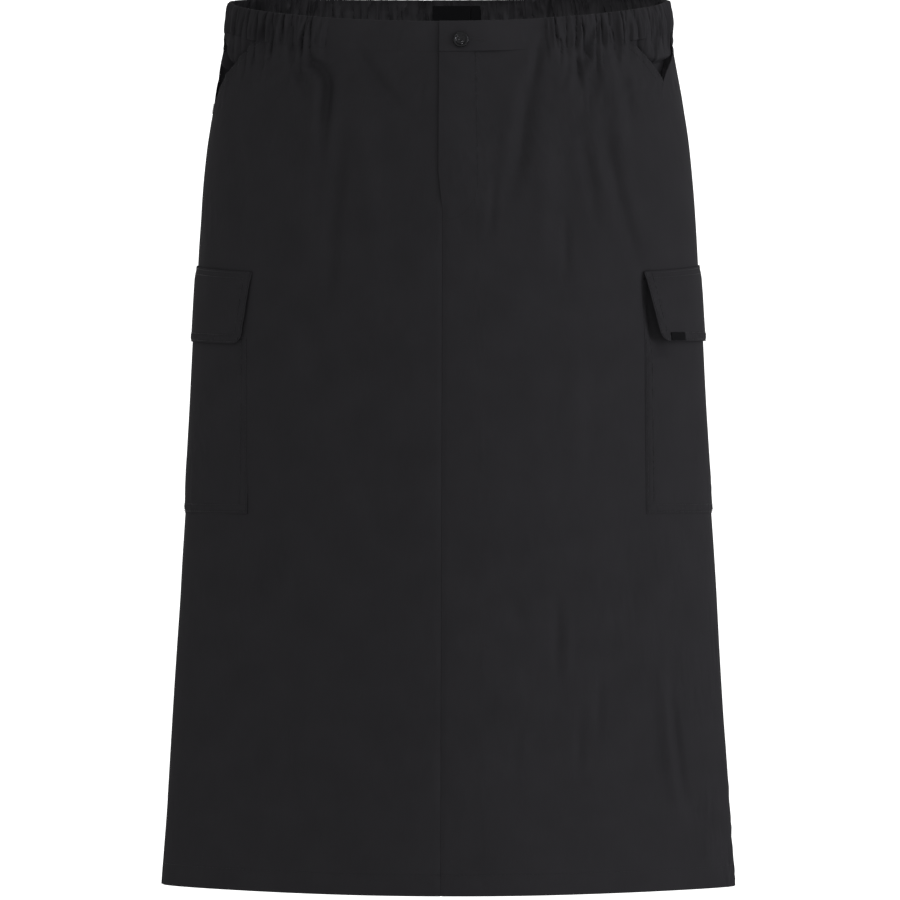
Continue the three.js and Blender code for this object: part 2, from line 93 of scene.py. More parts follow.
# %% Level sections and side seams
SECTIONS = [
    dict(drop=-12, half_width=183.5, front=105, back=99, pinch=0.04),
    dict(drop=29, half_width=189, front=108, back=102, pinch=0.04),
    dict(drop=75, half_width=197, front=113, back=110, pinch=0.05),
    dict(drop=126, half_width=204.8, front=118, back=119, pinch=0.07),
    dict(drop=202, half_width=211, front=123, back=127, pinch=0.12),
    dict(drop=304, half_width=216, front=125, back=129, pinch=0.19),
    dict(drop=457, half_width=224.8, front=122, back=123, pinch=0.29),
    dict(drop=750, half_width=243.8, front=115, back=110, pinch=0.45),
]
SEAM_LEFT = [
    dict(drop=0, angle=86),
    dict(drop=43, angle=83),
    dict(drop=50, angle=77),
    dict(drop=56, angle=72.6),
    dict(drop=66, angle=68),
    dict(drop=76, angle=67),
    dict(drop=134, angle=76),
    dict(drop=224, angle=86),
    dict(drop=434, angle=88.5),
    dict(drop=750, angle=90),
]
SEAM_RIGHT = [
    dict(drop=0, angle=88),
    dict(drop=72, angle=87),
    dict(drop=224, angle=88),
    dict(drop=750, angle=90),
]

# %% [markdown]
# ## The form of the cloth
# A skirt's level section is nearly an ellipse at the hips, and its sides draw in to a narrower
# edge towards the hem. One smooth curve through each column of the table gives every section
# between them, so no point of the surface has to be placed by hand.

# %% Curves through a table, and the section that they give


def along(table, name, drop):
    """Smooth curve through one column of a table whose rows are in order of drop."""
    places = np.array([entry["drop"] for entry in table], float)
    values = np.array([entry[name] for entry in table], float)
    last = len(places) - 1
    at = np.clip(drop, places[0], places[-1])
    i = np.clip(np.searchsorted(places, at, side="right") - 1, 0, last - 1)
    before = np.maximum(np.arange(last + 1) - 1, 0)
    after = np.minimum(np.arange(last + 1) + 1, last)
    slopes = (values[after] - values[before]) / (places[after] - places[before])
    step = places[i + 1] - places[i]
    s = (at - places[i]) / step
    return ((1 + 2 * s) * (1 - s) ** 2 * values[i] + s * s * (3 - 2 * s) * values[i + 1]
            + s * (1 - s) ** 2 * step * slopes[i] - s * s * (1 - s) * step * slopes[i + 1])


def section_point(angle, drop):
    s = np.sin(np.radians(angle))
    c = np.cos(np.radians(angle))
    depth = np.where(c > 0, along(SECTIONS, "front", drop), along(SECTIONS, "back", drop))
    drawn = 1 - along(SECTIONS, "pinch", drop) * s * s
    return along(SECTIONS, "half_width", drop) * s, -depth * c * drawn


def section_run(angle, drop):
    """Direction along the section, in millimetres for each degree."""
    step = 0.5
    x1, y1 = section_point(angle + step, drop)
    x0, y0 = section_point(angle - step, drop)
    return (x1 - x0) / (2 * step), (y1 - y0) / (2 * step)


def length_of_degree(angle, z):
    return np.hypot(*section_run(angle, WAIST_Z - z))


def waist_edge(angle):
    c = np.cos(np.radians(angle))
    return WAIST_Z - c * (FRONT_DIP + BACK_RISE) / 2 - c * c * (FRONT_DIP - BACK_RISE) / 2


def smooth(value, low, high):
    s = np.clip((value - low) / (high - low), 0, 1)
    return s * s * (3 - 2 * s)


# %% [markdown]
# ## Soft unevenness
# Cloth that hangs free is never quite true. A few layers of smooth noise, longer up and down
# than across, move the surface by a millimetre or so, and the light breaks on it. Small
# crumples lie in patches, most of them under the band and low on the wearer's left.

# %% Seeded noise on the unrolled cloth
NOISE_SIZE = 128
NOISE_GRID = np.random.default_rng(7).uniform(-1, 1, (NOISE_SIZE, NOISE_SIZE))
SLACK = dict(wide=0.8, middle=0.35, small=0.09)
CRUMPLES = dict(everywhere=0.28, low_left=0.3, under_band=0.3)


def soft_noise(u, v):
    iu, iv = np.floor(u).astype(int), np.floor(v).astype(int)
    fu, fv = u - iu, v - iv
    su, sv = fu * fu * (3 - 2 * fu), fv * fv * (3 - 2 * fv)

    def corner(a, b):
        return NOISE_GRID[(iu + a) % NOISE_SIZE, (iv + b) % NOISE_SIZE]

    low = corner(0, 0) * (1 - su) + corner(1, 0) * su
    high = corner(0, 1) * (1 - su) + corner(1, 1) * su
    return low * (1 - sv) + high * sv


def slack(angle, z):
    """Unevenness of hanging cloth, in millimetres."""
    u, v = angle * 3.1, z + 0 * angle
    wide = soft_noise(u / 60 + 11, v / 150 + 3)
    middle = soft_noise(u / 26 + 40, v / 70 + 17)
    small = soft_noise(u / 9 + 5, v / 22 + 60)
    patch = smooth(soft_noise(u / 41 + 23, v / 57 + 8), 0.0, 0.5)
    low_left = smooth(WAIST_Z - v, 440, 600) * smooth(np.sin(np.radians(angle)), 0, 0.5)
    under_band = 1 - smooth(WAIST_Z - v, 55, 115)
    under_band = under_band * smooth(-np.cos(np.radians(angle)), -0.87, -0.78)
    crumple = soft_noise(u / 6.5 + 70, v / 8.5 + 21) + 0.5 * soft_noise(u / 3.4, v / 4.6 + 90)
    strength = (CRUMPLES["everywhere"] + CRUMPLES["low_left"] * low_left) * patch
    strength = strength + CRUMPLES["under_band"] * under_band
    uneven_by = SLACK["wide"] * wide + SLACK["middle"] * middle + SLACK["small"] * small
    return uneven_by + strength * crumple


# %% [markdown]
# ## Gathers
# Elastic pulls the waistband up into short puffs with a sharp crease between each two. The
# creases are set out by their distance along the waist edge, and a repeating list of shares
# makes them unequal. A half sine gives the puff, because its ends meet in a sharp valley, and
# a power below 1 makes it fuller.

# %% Gathers: where they are and how far each runs down into the cloth
GATHERS = [
    dict(start=-90, end=-31.5, count=14),
    dict(start=27, end=90, count=18),
    dict(start=90, end=270, count=56),
]
GATHER_SWELL = 3.3
GATHER_SWAY = 0.55
PUFF_POWER = 0.6
WRINKLE = 0.24
CRINKLE = 0.42
GATHER_FADE = 1.5
GATHER_REACH = dict(short=18.0, more=58.0)
SHARES = [1.0, 0.78, 1.22, 0.9, 1.12, 0.84, 1.14]


def uneven(number, seed):
    """A steady made-up value from 0 to 1 for each whole number."""
    value = np.sin(np.asarray(number) * 12.9898 + seed * 78.233) * 43758.5453
    return value - np.floor(value)


def crease_angles(start, end, count):
    step = 0.5
    angles = np.arange(start, end + step / 2, step)
    steps = length_of_degree(angles[:-1] + step / 2, 0.0) * step
    arcs = np.concatenate([[0], np.cumsum(steps)])
    shares = np.array([SHARES[i % len(SHARES)] for i in range(count)])
    wanted = np.concatenate([[0], np.cumsum(shares)]) / shares.sum() * arcs[-1]
    return np.interp(wanted, arcs, angles)


CREASES = [crease_angles(**zone) for zone in GATHERS]
print("gathers:", sum(len(row) - 1 for row in CREASES))


def gather_height(angle, z):
    """How far the gathers stand out at a point: lopsided puffs with sharp creases between."""
    turned = np.where(angle > 270, angle - 360, angle)
    depth = waist_edge(angle) - z
    height = np.zeros(np.broadcast(turned, depth).shape)
    sway = np.sin(depth / 13 + turned * 0.7) + 0.5 * np.sin(depth / 6 + turned * 1.9)
    for zone, creases in enumerate(CREASES):
        # `i` is the puff that a point is in, and `s` is its share of the way across that puff.
        leaning = turned + GATHER_SWAY * sway
        i = np.clip(np.searchsorted(creases, leaning, side="right") - 1, 0, len(creases) - 2)
        s = (leaning - creases[i]) / (creases[i + 1] - creases[i])
        inside = (s >= 0) & (s <= 1)
        number = i + 100 * zone
        lopsided = np.clip(s, 0, 1) ** (0.65 + 0.9 * uneven(number, 1))
        puff = np.sin(np.pi * lopsided) ** PUFF_POWER
        wrinkle = WRINKLE * np.sin(3 * np.pi * np.clip(s, 0, 1) + depth / 9) * uneven(number, 2)
        wrinkle = wrinkle + CRINKLE * soft_noise(turned * 3.2 / 2.4 + 9, depth / 19 + 50)
        # Each puff runs down into the cloth by its own reach and stands out by its own swell.
        reach = GATHER_REACH["short"] + GATHER_REACH["more"] * uneven(number, 3) ** 2
        below = np.clip((depth - BAND_HEIGHT) / reach, 0, 1)
        swell = GATHER_SWELL * (0.65 + 0.7 * uneven(number, 5))
        in_band = 0.85 + 0.15 * np.sin(np.pi * np.clip(depth / BAND_HEIGHT, 0, 1))
        fading = in_band * (1 - below) ** GATHER_FADE
        height += np.where(inside, swell * (puff + wrinkle) * fading, 0)
    return height


# %% [markdown]
# ## Folds
# The long creases under the gathers are listed, each as a short path of points. A point
# has its distance from the front centre and its drop, or on the back its angle and its drop. A
# crease is a soft trough with raised shoulders and a ridge is the same shape turned up. Each
# dies away at its two ends. The back isn't seen, so its folds are made up.

# %% Creases and ridges of the front, read off the real garment
FOLDS = [
    dict(path=[(-118, 38), (-114, 54), (-104, 63), (-98, 75), (-99, 96), (-101, 118), (-103, 142)],
         width=5.5, height=-5.4),
    dict(path=[(-107, 62), (-108, 90), (-110, 124)], width=5, height=1.6),
    dict(path=[(-86, 100), (-86, 132), (-89, 169), (-93, 205), (-97, 275)], width=7, height=-3.0),
    dict(path=[(-127, 40), (-124, 60), (-118, 76), (-112, 92)], width=5.5, height=-3.0),
    dict(path=[(-74, 40), (-70, 52), (-63, 64), (-52, 80), (-38, 96), (-28, 110)], width=6.5,
         height=-3.0),
    dict(path=[(-60, 88), (-49, 145)], width=13, height=-1.6),
    dict(path=[(-66, 70), (-66, 120), (-60, 180), (-54, 262)], width=11, height=2.0),
    dict(path=[(-112, 100), (-115, 170), (-116, 262)], width=10, height=1.9),
    dict(path=[(-176, 105), (-173, 159), (-174, 222)], width=8, height=-2.4),
    dict(path=[(-17, 70), (-19, 105)], width=3, height=-0.7),
    dict(path=[(-159, 225), (-126, 256), (-109, 294), (-103, 375)], width=12, height=-2.2),
    dict(path=[(-94, 352), (-76, 389), (-56, 439), (-34, 462), (-8, 482)], width=12, height=-2.0),
    dict(path=[(-39, 196), (-37, 266)], width=13, height=-1.4),
    dict(path=[(120, 28), (118, 49), (114, 62), (113, 88)], width=5.5, height=-5.0),
    dict(path=[(128, 54), (121, 81), (117, 108)], width=6.5, height=-2.2),
    dict(path=[(82, 38), (78, 56), (74, 80)], width=4.5, height=-2.6),
    dict(path=[(106, 42), (105, 58), (100, 80)], width=4, height=-1.8),
    dict(path=[(76, 60), (70, 88), (66, 120), (61, 150), (50, 186)], width=7.5, height=-3.2),
    dict(path=[(132, 100), (137, 131), (142, 152), (147, 173), (154, 197), (165, 236)],
         width=7, height=-3.2),
    dict(path=[(115, 120), (122, 156), (128, 200)], width=6, height=-2.0),
    dict(path=[(43, 150), (38, 212)], width=4, height=-1.2),
    dict(path=[(106, 84), (104, 157), (101, 250)], width=18, height=-2.6),
    dict(path=[(134, 50), (143, 95), (152, 150)], width=8, height=2.0),
    dict(path=[(149, 62), (158, 112)], width=6, height=-1.4),
    dict(path=[(102, 186), (102, 246)], width=4.5, height=-1.4),
    dict(path=[(86, 90), (84, 160), (80, 240)], width=9, height=1.4),
    dict(path=[(109, 280), (109, 440)], width=10, height=1.2),
    dict(path=[(-156, 452), (-153, 506)], width=6, height=-1.2),
    dict(path=[(-134, 458), (-130, 510)], width=6, height=0.9),
    dict(path=[(-130, 590), (-127, 660), (-108, 722)], width=10, height=-1.8),
    dict(path=[(55, 498), (71, 540)], width=7, height=-1.2),
    dict(path=[(95, 500), (93, 572)], width=5, height=-1.3),
    dict(path=[(104, 520), (102, 575)], width=5, height=0.9),
    dict(path=[(130, 572), (128, 626)], width=4.5, height=-1.2),
    dict(path=[(114, 600), (111, 655)], width=4.5, height=-1.2),
    dict(path=[(180, 565), (187, 640), (193, 675), (202, 706)], width=7, height=2.4),
    dict(path=[(188, 580), (197, 650), (203, 682)], width=5, height=-1.8),
    dict(path=[(198, 676), (219, 689), (238, 706)], width=4.5, height=-3.0),
    dict(path=[(45, 660), (72, 689), (104, 720)], width=11, height=-1.6),
    dict(path=[(-170, 440), (-170, 575)], width=7, height=1.3),
]

# %% Creases and ridges of the back
BACK_FOLDS = [
    dict(path=[(112, 30), (114, 80), (117, 150)], width=6, height=-2.0),
    dict(path=[(127, 34), (129, 70), (130, 112)], width=5, height=-1.8),
    dict(path=[(138, 30), (142, 110), (145, 235)], width=7, height=-2.2),
    dict(path=[(151, 60), (152, 120), (154, 200)], width=9, height=1.2),
    dict(path=[(161, 26), (163, 64), (164, 104)], width=5, height=-2.2),
    dict(path=[(172, 60), (174, 140), (173, 250)], width=13, height=-1.5),
    dict(path=[(181, 24), (180, 70), (178, 140)], width=5, height=-2.2),
    dict(path=[(193, 28), (192, 62), (190, 98)], width=5, height=-1.7),
    dict(path=[(204, 30), (200, 110), (196, 220)], width=7, height=-2.2),
    dict(path=[(214, 60), (211, 150), (209, 250)], width=10, height=1.3),
    dict(path=[(226, 28), (224, 76), (222, 126)], width=5, height=-2.0),
    dict(path=[(240, 32), (238, 90), (234, 170)], width=7, height=-1.8),
    dict(path=[(250, 34), (249, 66), (247, 104)], width=5, height=-1.6),
    dict(path=[(148, 330), (158, 420), (170, 470)], width=13, height=-1.4),
    dict(path=[(206, 300), (203, 400), (198, 480)], width=12, height=-1.3),
    dict(path=[(182, 540), (181, 640)], width=9, height=-1.0),
    dict(path=[(222, 600), (219, 700)], width=7, height=1.0),
    dict(path=[(140, 620), (144, 712)], width=9, height=-1.1),
]


def front_path(path):
    """Turns distances from the front centre into angles."""
    found = []
    for x, drop in path:
        half = float(along(SECTIONS, "half_width", drop))
        found.append((math.degrees(math.asin(x / half)), drop))
    return found


ALL_FOLDS = [dict(fold, path=front_path(fold["path"])) for fold in FOLDS] + BACK_FOLDS


def rounded_path(path, count=24):
    """A smooth run through the few points of a fold's path."""
    points = np.array(path, float)
    ends = np.vstack([2 * points[0] - points[1], points, 2 * points[-1] - points[-2]])
    spans = len(points) - 1
    t = np.linspace(0, spans, count * spans + 1)
    i = np.minimum(t.astype(int), spans - 1)
    s = (t - i)[:, None]
    a, b, c, d = ends[i], ends[i + 1], ends[i + 2], ends[i + 3]
    return 0.5 * (2 * b + (c - a) * s + (2 * a - 5 * b + 4 * c - d) * s ** 2
                  + (3 * b - a - 3 * c + d) * s ** 3)


def fold_height(angle, z):
    """Depth of every crease and height of every ridge at a point."""
    drop = WAIST_Z - z + 0 * angle
    height = np.zeros(np.broadcast(angle, drop).shape)
    for fold in ALL_FOLDS:
        run = rounded_path(fold["path"])
        order = np.argsort(run[:, 1])
        centre = np.interp(drop, run[order, 1], run[order, 0])
        s = (drop - run[:, 1].min()) / np.ptp(run[:, 1])
        near = (s > 0) & (s < 1) & (np.abs(angle - centre) < 40)
        slope = np.gradient(run[order, 0], run[order, 1])
        degree = length_of_degree(centre, z)
        lean = np.interp(drop, run[order, 1], slope) * degree
        away = (angle - centre) * degree / np.sqrt(1 + lean ** 2) / fold["width"]
        shape = (1 - 0.55 * away ** 2) * np.exp(-away ** 2 / 1.6)
        fade = np.sin(np.pi * np.clip(s, 0, 1) ** 0.8)
        height += np.where(near, fold["height"] * shape * fade, 0)
    return height


# %% [markdown]
# ## A point on the cloth
# One function places every piece. It starts from the section, goes out by the distance asked
# for, and adds the gathers, the folds, the slack and the hollow under the left flap.

# %% The gape of the left cargo pocket, and a point on the cloth
GAPE = dict(x=170.0, top=230.0, bottom=304.0, width=6.5, depth=7.0)


def pocket_gape(angle, z):
    """The hollow under the front edge of the left flap, where its pocket gapes."""
    drop = WAIST_Z - z
    s = np.clip((drop - GAPE["top"]) / (GAPE["bottom"] - GAPE["top"]), 0, 1)
    x, y = section_point(angle, drop)
    centre = GAPE["x"] + 9 * s
    across = (x - centre) / GAPE["width"]
    front = (y < 0) & (angle > 20) & (angle < 90)
    return np.where(front, -GAPE["depth"] * np.exp(-across ** 2) * np.sin(np.pi * s) ** 0.8, 0)


def cloth_point(angle, z, out, gathered=1.0, gaping=True):
    """Points `out` millimetres outside the panels' outer face, as an array of x, y, z."""
    angle, z, out = np.broadcast_arrays(np.asarray(angle, float), z, out)
    x, y = section_point(angle, WAIST_Z - z)
    run_x, run_y = section_run(angle, WAIST_Z - z)
    long = np.hypot(run_x, run_y)
    stand = out + gathered * (gather_height(angle, z) + fold_height(angle, z) + slack(angle, z))
    if gaping:
        stand = stand + pocket_gape(angle, z)
    return np.stack([x + run_y / long * stand, y - run_x / long * stand, z], -1)


# %% [markdown]
# ## One wall of cloth
# Every piece is a grid of points with the same number of columns in each row, so a slanted
# pocket mouth or a rounded corner only changes where a row starts and ends. The outer face, the
# inner face and a rounded rim are joined into one closed wall. Its UV map is in metres along
# and down the cloth, so the weave keeps its size on every piece.

# %% Wall maker
SHARP_ANGLE = math.radians(40)
DIP_REACH = 2.2


def edge_dip(rows_angle, rows_z, dips):
    """The hollow beside each sewn edge, by distance from it."""
    degree = length_of_degree(rows_angle, rows_z)
    dip = np.zeros(rows_angle.shape)
    to_start = (rows_angle - rows_angle[:, :1]) * degree
    to_end = (rows_angle[:, -1:] - rows_angle) * degree
    to_top = rows_z[:1] - rows_z
    to_bottom = rows_z - rows_z[-1:]
    for name, away in dict(start=to_start, end=to_end, top=to_top, bottom=to_bottom).items():
        dip -= dips.get(name, 0) * np.exp(-(away / DIP_REACH) ** 2)
    return dip


def add_mesh(name, points, faces, uv, material):
    mesh = bpy.data.meshes.new(name)
    mesh.from_pydata((points * MM).tolist(), [], faces)
    layer = mesh.uv_layers.new(name="cloth")
    corners = np.empty(len(mesh.loops), int)
    mesh.loops.foreach_get("vertex_index", corners)
    layer.data.foreach_set("uv", (uv[corners] * MM).ravel())
    mesh.polygons.foreach_set("use_smooth", [True] * len(mesh.polygons))
    mesh.set_sharp_from_angle(angle=SHARP_ANGLE)
    mesh.materials.append(material)
    mesh.validate()
    obj = bpy.data.objects.new(name, mesh)
    scene.collection.objects.link(obj)
    return obj


def cloth_wall(name, angles, heights, material, out=0.0, thick=CLOTH_THICK, gathered=1.0,
               dips=None, gaping=True):
    """A closed wall through a grid of places, with a rounded rim all round."""
    rows, columns = angles.shape
    out = out + edge_dip(angles, heights, dips or {})
    outer = cloth_point(angles, heights, out, gathered, gaping)
    inner = cloth_point(angles, heights, out - thick, gathered, gaping)
    along_row = np.zeros(angles.shape)
    bare = cloth_point(angles, heights, 0.0, 0.0)
    along_row[:, 1:] = np.cumsum(np.linalg.norm(np.diff(bare, axis=1), axis=2), axis=1)
    uv = np.stack([along_row - along_row[:, columns // 2][:, None], heights], -1)

    ids = np.arange(rows * columns).reshape(rows, columns)
    offset = rows * columns
    quads = np.stack([ids[:-1, :-1], ids[1:, :-1], ids[1:, 1:], ids[:-1, 1:]], -1).reshape(-1, 4)
    faces = quads.tolist() + (quads[:, ::-1] + offset).tolist()

    ring = np.concatenate([ids[0, :-1], ids[:-1, -1], ids[-1, :0:-1], ids[:0:-1, 0]])
    flat_outer = outer.reshape(-1, 3)
    flat_inner = inner.reshape(-1, 3)
    middle = (flat_outer[ring] + flat_inner[ring]) / 2
    step_in = np.concatenate([ids[1, :-1], ids[:-1, -2], ids[-2, :0:-1], ids[:0:-1, 1]])
    away = middle - (flat_outer[step_in] + flat_inner[step_in]) / 2
    away /= np.linalg.norm(away, axis=1)[:, None]
    rim = middle + away * min(0.35 * thick, 0.45)
    start = 2 * offset
    count = len(ring)
    for k in range(count):
        n = (k + 1) % count
        faces.append([int(ring[k]), int(ring[n]), start + n, start + k])
        faces.append([start + k, start + n, int(ring[n]) + offset, int(ring[k]) + offset])
    points = np.concatenate([flat_outer, flat_inner, rim])
    flat_uv = uv.reshape(-1, 2)
    uvs = np.concatenate([flat_uv, flat_uv, flat_uv[ring]])
    return add_mesh(name, points, faces, uvs, material)


def grid(starts, ends, columns):
    """Angles of a grid whose rows run from `starts` to `ends`."""
    share = np.linspace(0, 1, columns)
    return starts[:, None] + (ends - starts)[:, None] * share


def level_heights(angles, levels):
    """Heights of the rows: they start inside the folded band and are flat at the hem."""
    seam = waist_edge(angles) - BAND_HEIGHT + BAND_TUCK
    share = ((levels - BAND_HEIGHT) / (LENGTH - BAND_HEIGHT))[:, None]
    return seam + (HEM_Z - seam) * share


# %% [markdown]
# ## Cloth, label and metal
# The cloth is a fine plain weave of cotton and nylon: nearly black, matt, with a faint sheen
# where it turns away from the eye. The cloth and the woven labels share one node group for the
# weave, each with its own thread size. It reads the UV map, so the threads follow the cloth.

# %% Weave node group


def add_node(tree, kind, values=None, **settings):
    """A new node, with settings such as its mode and the values of some inputs."""
    node = tree.nodes.new(kind)
    for name, value in settings.items():
        setattr(node, name, value)
    for key, value in (values or {}).items():
        node.inputs[key].default_value = value
    return node


def mix_colours(tree, dark=None, light=None):
    """A colour mix, whose two colours are its sockets 6 and 7."""
    node = add_node(tree, "ShaderNodeMix", data_type="RGBA", clamp_factor=True)
    for socket, colour in ((6, dark), (7, light)):
        if colour is not None:
            node.inputs[socket].default_value = (*colour, 1)
    return node


def add_group(name, sockets):
    group = bpy.data.node_groups.new(name, "ShaderNodeTree")
    for title, way, kind, value in sockets:
        socket = group.interface.new_socket(name=title, in_out=way, socket_type=kind)
        if value is not None:
            socket.default_value = value
    start = group.nodes.new("NodeGroupInput")
    end = group.nodes.new("NodeGroupOutput")
    return group, start, end


def maths(group, kind, first, second=None, third=None):
    node = group.nodes.new("ShaderNodeMath")
    node.operation = kind
    for socket, value in zip(node.inputs, (first, second, third)):
        if isinstance(value, (int, float)):
            socket.default_value = value
        elif value is not None:
            group.links.new(value, socket)
    return node.outputs[0]


def make_weave():
    """A plain weave: threads pass over and under each other, and vary in tone along the way."""
    group, start, end = add_group("plain_weave", [
        ("Surface", "INPUT", "NodeSocketVector", None),
        ("Thread Size", "INPUT", "NodeSocketFloat", 0.0004),
        ("Dark", "INPUT", "NodeSocketColor", (0.015, 0.015, 0.016, 1)),
        ("Light", "INPUT", "NodeSocketColor", (0.03, 0.03, 0.032, 1)),
        ("Slub", "INPUT", "NodeSocketFloat", 0.35),
        ("Base Roughness", "INPUT", "NodeSocketFloat", 0.8),
        ("Color", "OUTPUT", "NodeSocketColor", None),
        ("Height", "OUTPUT", "NodeSocketFloat", None),
        ("Roughness", "OUTPUT", "NodeSocketFloat", None),
    ])
    link = group.links.new
    parts = add_node(group, "ShaderNodeSeparateXYZ")
    link(start.outputs["Surface"], parts.inputs[0])
    turn = maths(group, "DIVIDE", math.pi, start.outputs["Thread Size"])
    across = maths(group, "MULTIPLY", parts.outputs["X"], turn)
    down = maths(group, "MULTIPLY", parts.outputs["Y"], turn)
    over = maths(group, "MULTIPLY", maths(group, "SINE", across), maths(group, "SINE", down))
    height = maths(group, "MULTIPLY_ADD", over, 0.5, 0.5)

    stretch = add_node(group, "ShaderNodeVectorMath", {1: (900, 60, 1)}, operation="MULTIPLY")
    link(start.outputs["Surface"], stretch.inputs[0])
    slub = add_node(group, "ShaderNodeTexNoise", {"Scale": 1.0, "Detail": 2.0})
    link(stretch.outputs[0], slub.inputs["Vector"])
    wide = add_node(group, "ShaderNodeTexNoise", {"Scale": 26.0, "Detail": 3.0})
    link(start.outputs["Surface"], wide.inputs["Vector"])

    slubbed = maths(group, "MULTIPLY", slub.outputs[0], start.outputs["Slub"])
    tone = maths(group, "MULTIPLY_ADD", height, 0.25, slubbed)
    tone = maths(group, "MULTIPLY_ADD", wide.outputs[0], 0.55, tone)
    mix = mix_colours(group)
    link(tone, mix.inputs["Factor"])
    link(start.outputs["Dark"], mix.inputs[6])
    link(start.outputs["Light"], mix.inputs[7])
    link(mix.outputs[2], end.inputs["Color"])
    link(height, end.inputs["Height"])
    rough = maths(group, "MULTIPLY_ADD", wide.outputs[0], 0.12, start.outputs["Base Roughness"])
    link(rough, end.inputs["Roughness"])
    return group


WEAVE = make_weave()

# %% Materials


def new_material(name):
    material = bpy.data.materials.new(name)
    material.use_nodes = True
    nodes = material.node_tree.nodes
    return material, material.node_tree, nodes["Principled BSDF"]


def woven_material(name, dark, light, thread, bump, roughness, slub=0.35, sheen=0.0):
    material, tree, shader = new_material(name)
    uv = add_node(tree, "ShaderNodeUVMap", uv_map="cloth")
    weave = add_node(tree, "ShaderNodeGroup", {
        "Thread Size": thread, "Dark": (*dark, 1), "Light": (*light, 1), "Slub": slub,
        "Base Roughness": roughness}, node_tree=WEAVE)
    bumped = add_node(tree, "ShaderNodeBump", {"Strength": bump, "Distance": 0.00008})
    tree.links.new(uv.outputs[0], weave.inputs["Surface"])
    tree.links.new(weave.outputs["Color"], shader.inputs["Base Color"])
    tree.links.new(weave.outputs["Roughness"], shader.inputs["Roughness"])
    tree.links.new(weave.outputs["Height"], bumped.inputs["Height"])
    tree.links.new(bumped.outputs[0], shader.inputs["Normal"])
    shader.inputs["Sheen Weight"].default_value = sheen
    shader.inputs["Sheen Roughness"].default_value = 0.45
    shader.inputs["Specular IOR Level"].default_value = 0.01
    return material


CLOTH = woven_material("charcoal_cloth", (0.0083, 0.0081, 0.0088), (0.0141, 0.0137, 0.0150),
                       thread=0.00038, bump=0.3, roughness=0.7)
LABEL = woven_material("black_woven_label", (0.0016, 0.0016, 0.0018), (0.0036, 0.0036, 0.004),
                       thread=0.00025, bump=0.5, roughness=0.5, slub=0.1)


def make_thread():
    """Polyester sewing thread: a little shinier than the cloth, with a twist along it."""
    material, tree, shader = new_material("dark_thread")
    coords = add_node(tree, "ShaderNodeTexCoord")
    twist = add_node(tree, "ShaderNodeTexWave", {"Scale": 900, "Distortion": 1.0})
    ramp = mix_colours(tree, (0.005, 0.005, 0.0055), (0.013, 0.013, 0.0145))
    tree.links.new(coords.outputs["Object"], twist.inputs["Vector"])
    tree.links.new(twist.outputs["Fac"], ramp.inputs["Factor"])
    tree.links.new(ramp.outputs[2], shader.inputs["Base Color"])
    shader.inputs["Roughness"].default_value = 0.5
    shader.inputs["Specular IOR Level"].default_value = 0.1
    return material


def make_metal():
    """Black plated metal: glossy, with faint wear that changes its roughness."""
    material, tree, shader = new_material("black_metal")
    coords = add_node(tree, "ShaderNodeTexCoord")
    wear = add_node(tree, "ShaderNodeTexNoise", {"Scale": 900, "Detail": 4})
    rough = add_node(tree, "ShaderNodeMapRange", {"To Min": 0.12, "To Max": 0.22})
    tone = mix_colours(tree, (0.008, 0.008, 0.0085), (0.018, 0.018, 0.019))
    tree.links.new(coords.outputs["Object"], wear.inputs["Vector"])
    tree.links.new(wear.outputs[0], rough.inputs["Value"])
    tree.links.new(rough.outputs[0], shader.inputs["Roughness"])
    tree.links.new(wear.outputs[0], tone.inputs["Factor"])
    tree.links.new(tone.outputs[2], shader.inputs["Base Color"])
    shader.inputs["Metallic"].default_value = 1.0
    return material


THREAD = make_thread()
METAL = make_metal()

# %% [markdown]
# ## The fronts and the back
# The fronts meet in a seam below the fly. Above it the left front laps over the right one, so
# its edge is lifted by a cloth's thickness and casts the thin dark line that shows on the real
# skirt. At each hip the front's corner is cut away on a slant for the pocket's mouth.

# %% Panel edges
FLY = dict(lap=1.0, under=2.5, fade=13.0, straight=130.0, closed=148.0, foot=165.0)
FLY_LIFT = 1.7
FLY_ROW = dict(width=8.0, turn=139.3, foot=171.4)
CENTRE_DRIFT = 0.5
CENTRE_DIP = 0.5
FRONT_COLUMNS = 226
HIP_LEFT = dict(top=53.2, foot=66.0, under=3.5, lift=2.4, hollow=5.0, begins=0.5, lean=0.0,
                arm=1.0, strip=0.0, groove=5.0)
HIP_RIGHT = dict(top=55.5, foot=92.0, under=3.5, lift=0.9, hollow=13.0, begins=0.4, lean=0.36,
                 arm=0.0, strip=1.0, groove=3.0)


def share_between(level, low, high):
    return np.clip((level - low) / (high - low), 0, 1)


def lap_angle(level):
    free = -FLY["lap"] * (1 - share_between(level, FLY["straight"], FLY["foot"]))
    return free - CENTRE_DRIFT * share_between(level, FLY["foot"], LENGTH)


def under_angle(level):
    gap = SEAM_GAP / length_of_degree(0.0, level_heights(np.zeros(1), level)[:, 0])
    closed = lap_angle(level) - gap
    into = share_between(level, FLY["straight"], FLY["closed"])
    return FLY["under"] * (1 - into) + closed * into


def seam_angle(level, seam):
    heights = level_heights(np.full((1,), 90.0), level)[:, 0]
    return along(seam, "angle", WAIST_Z - heights)


def side_edge(level, hip, seam):
    """The slanted mouth of a hip pocket, and below its foot the side seam."""
    foot = seam_angle(np.array([hip["foot"]]), seam)[0]
    slanted = hip["top"] + (foot - hip["top"]) * share_between(level, BAND_HEIGHT, hip["foot"])
    return np.where(level < hip["foot"], slanted, seam_angle(level, seam))


def mouth_gap(level, hip):
    """A small gap beside a pocket's mouth, which closes where the side seam starts."""
    return 0.05 * (level < hip["foot"])


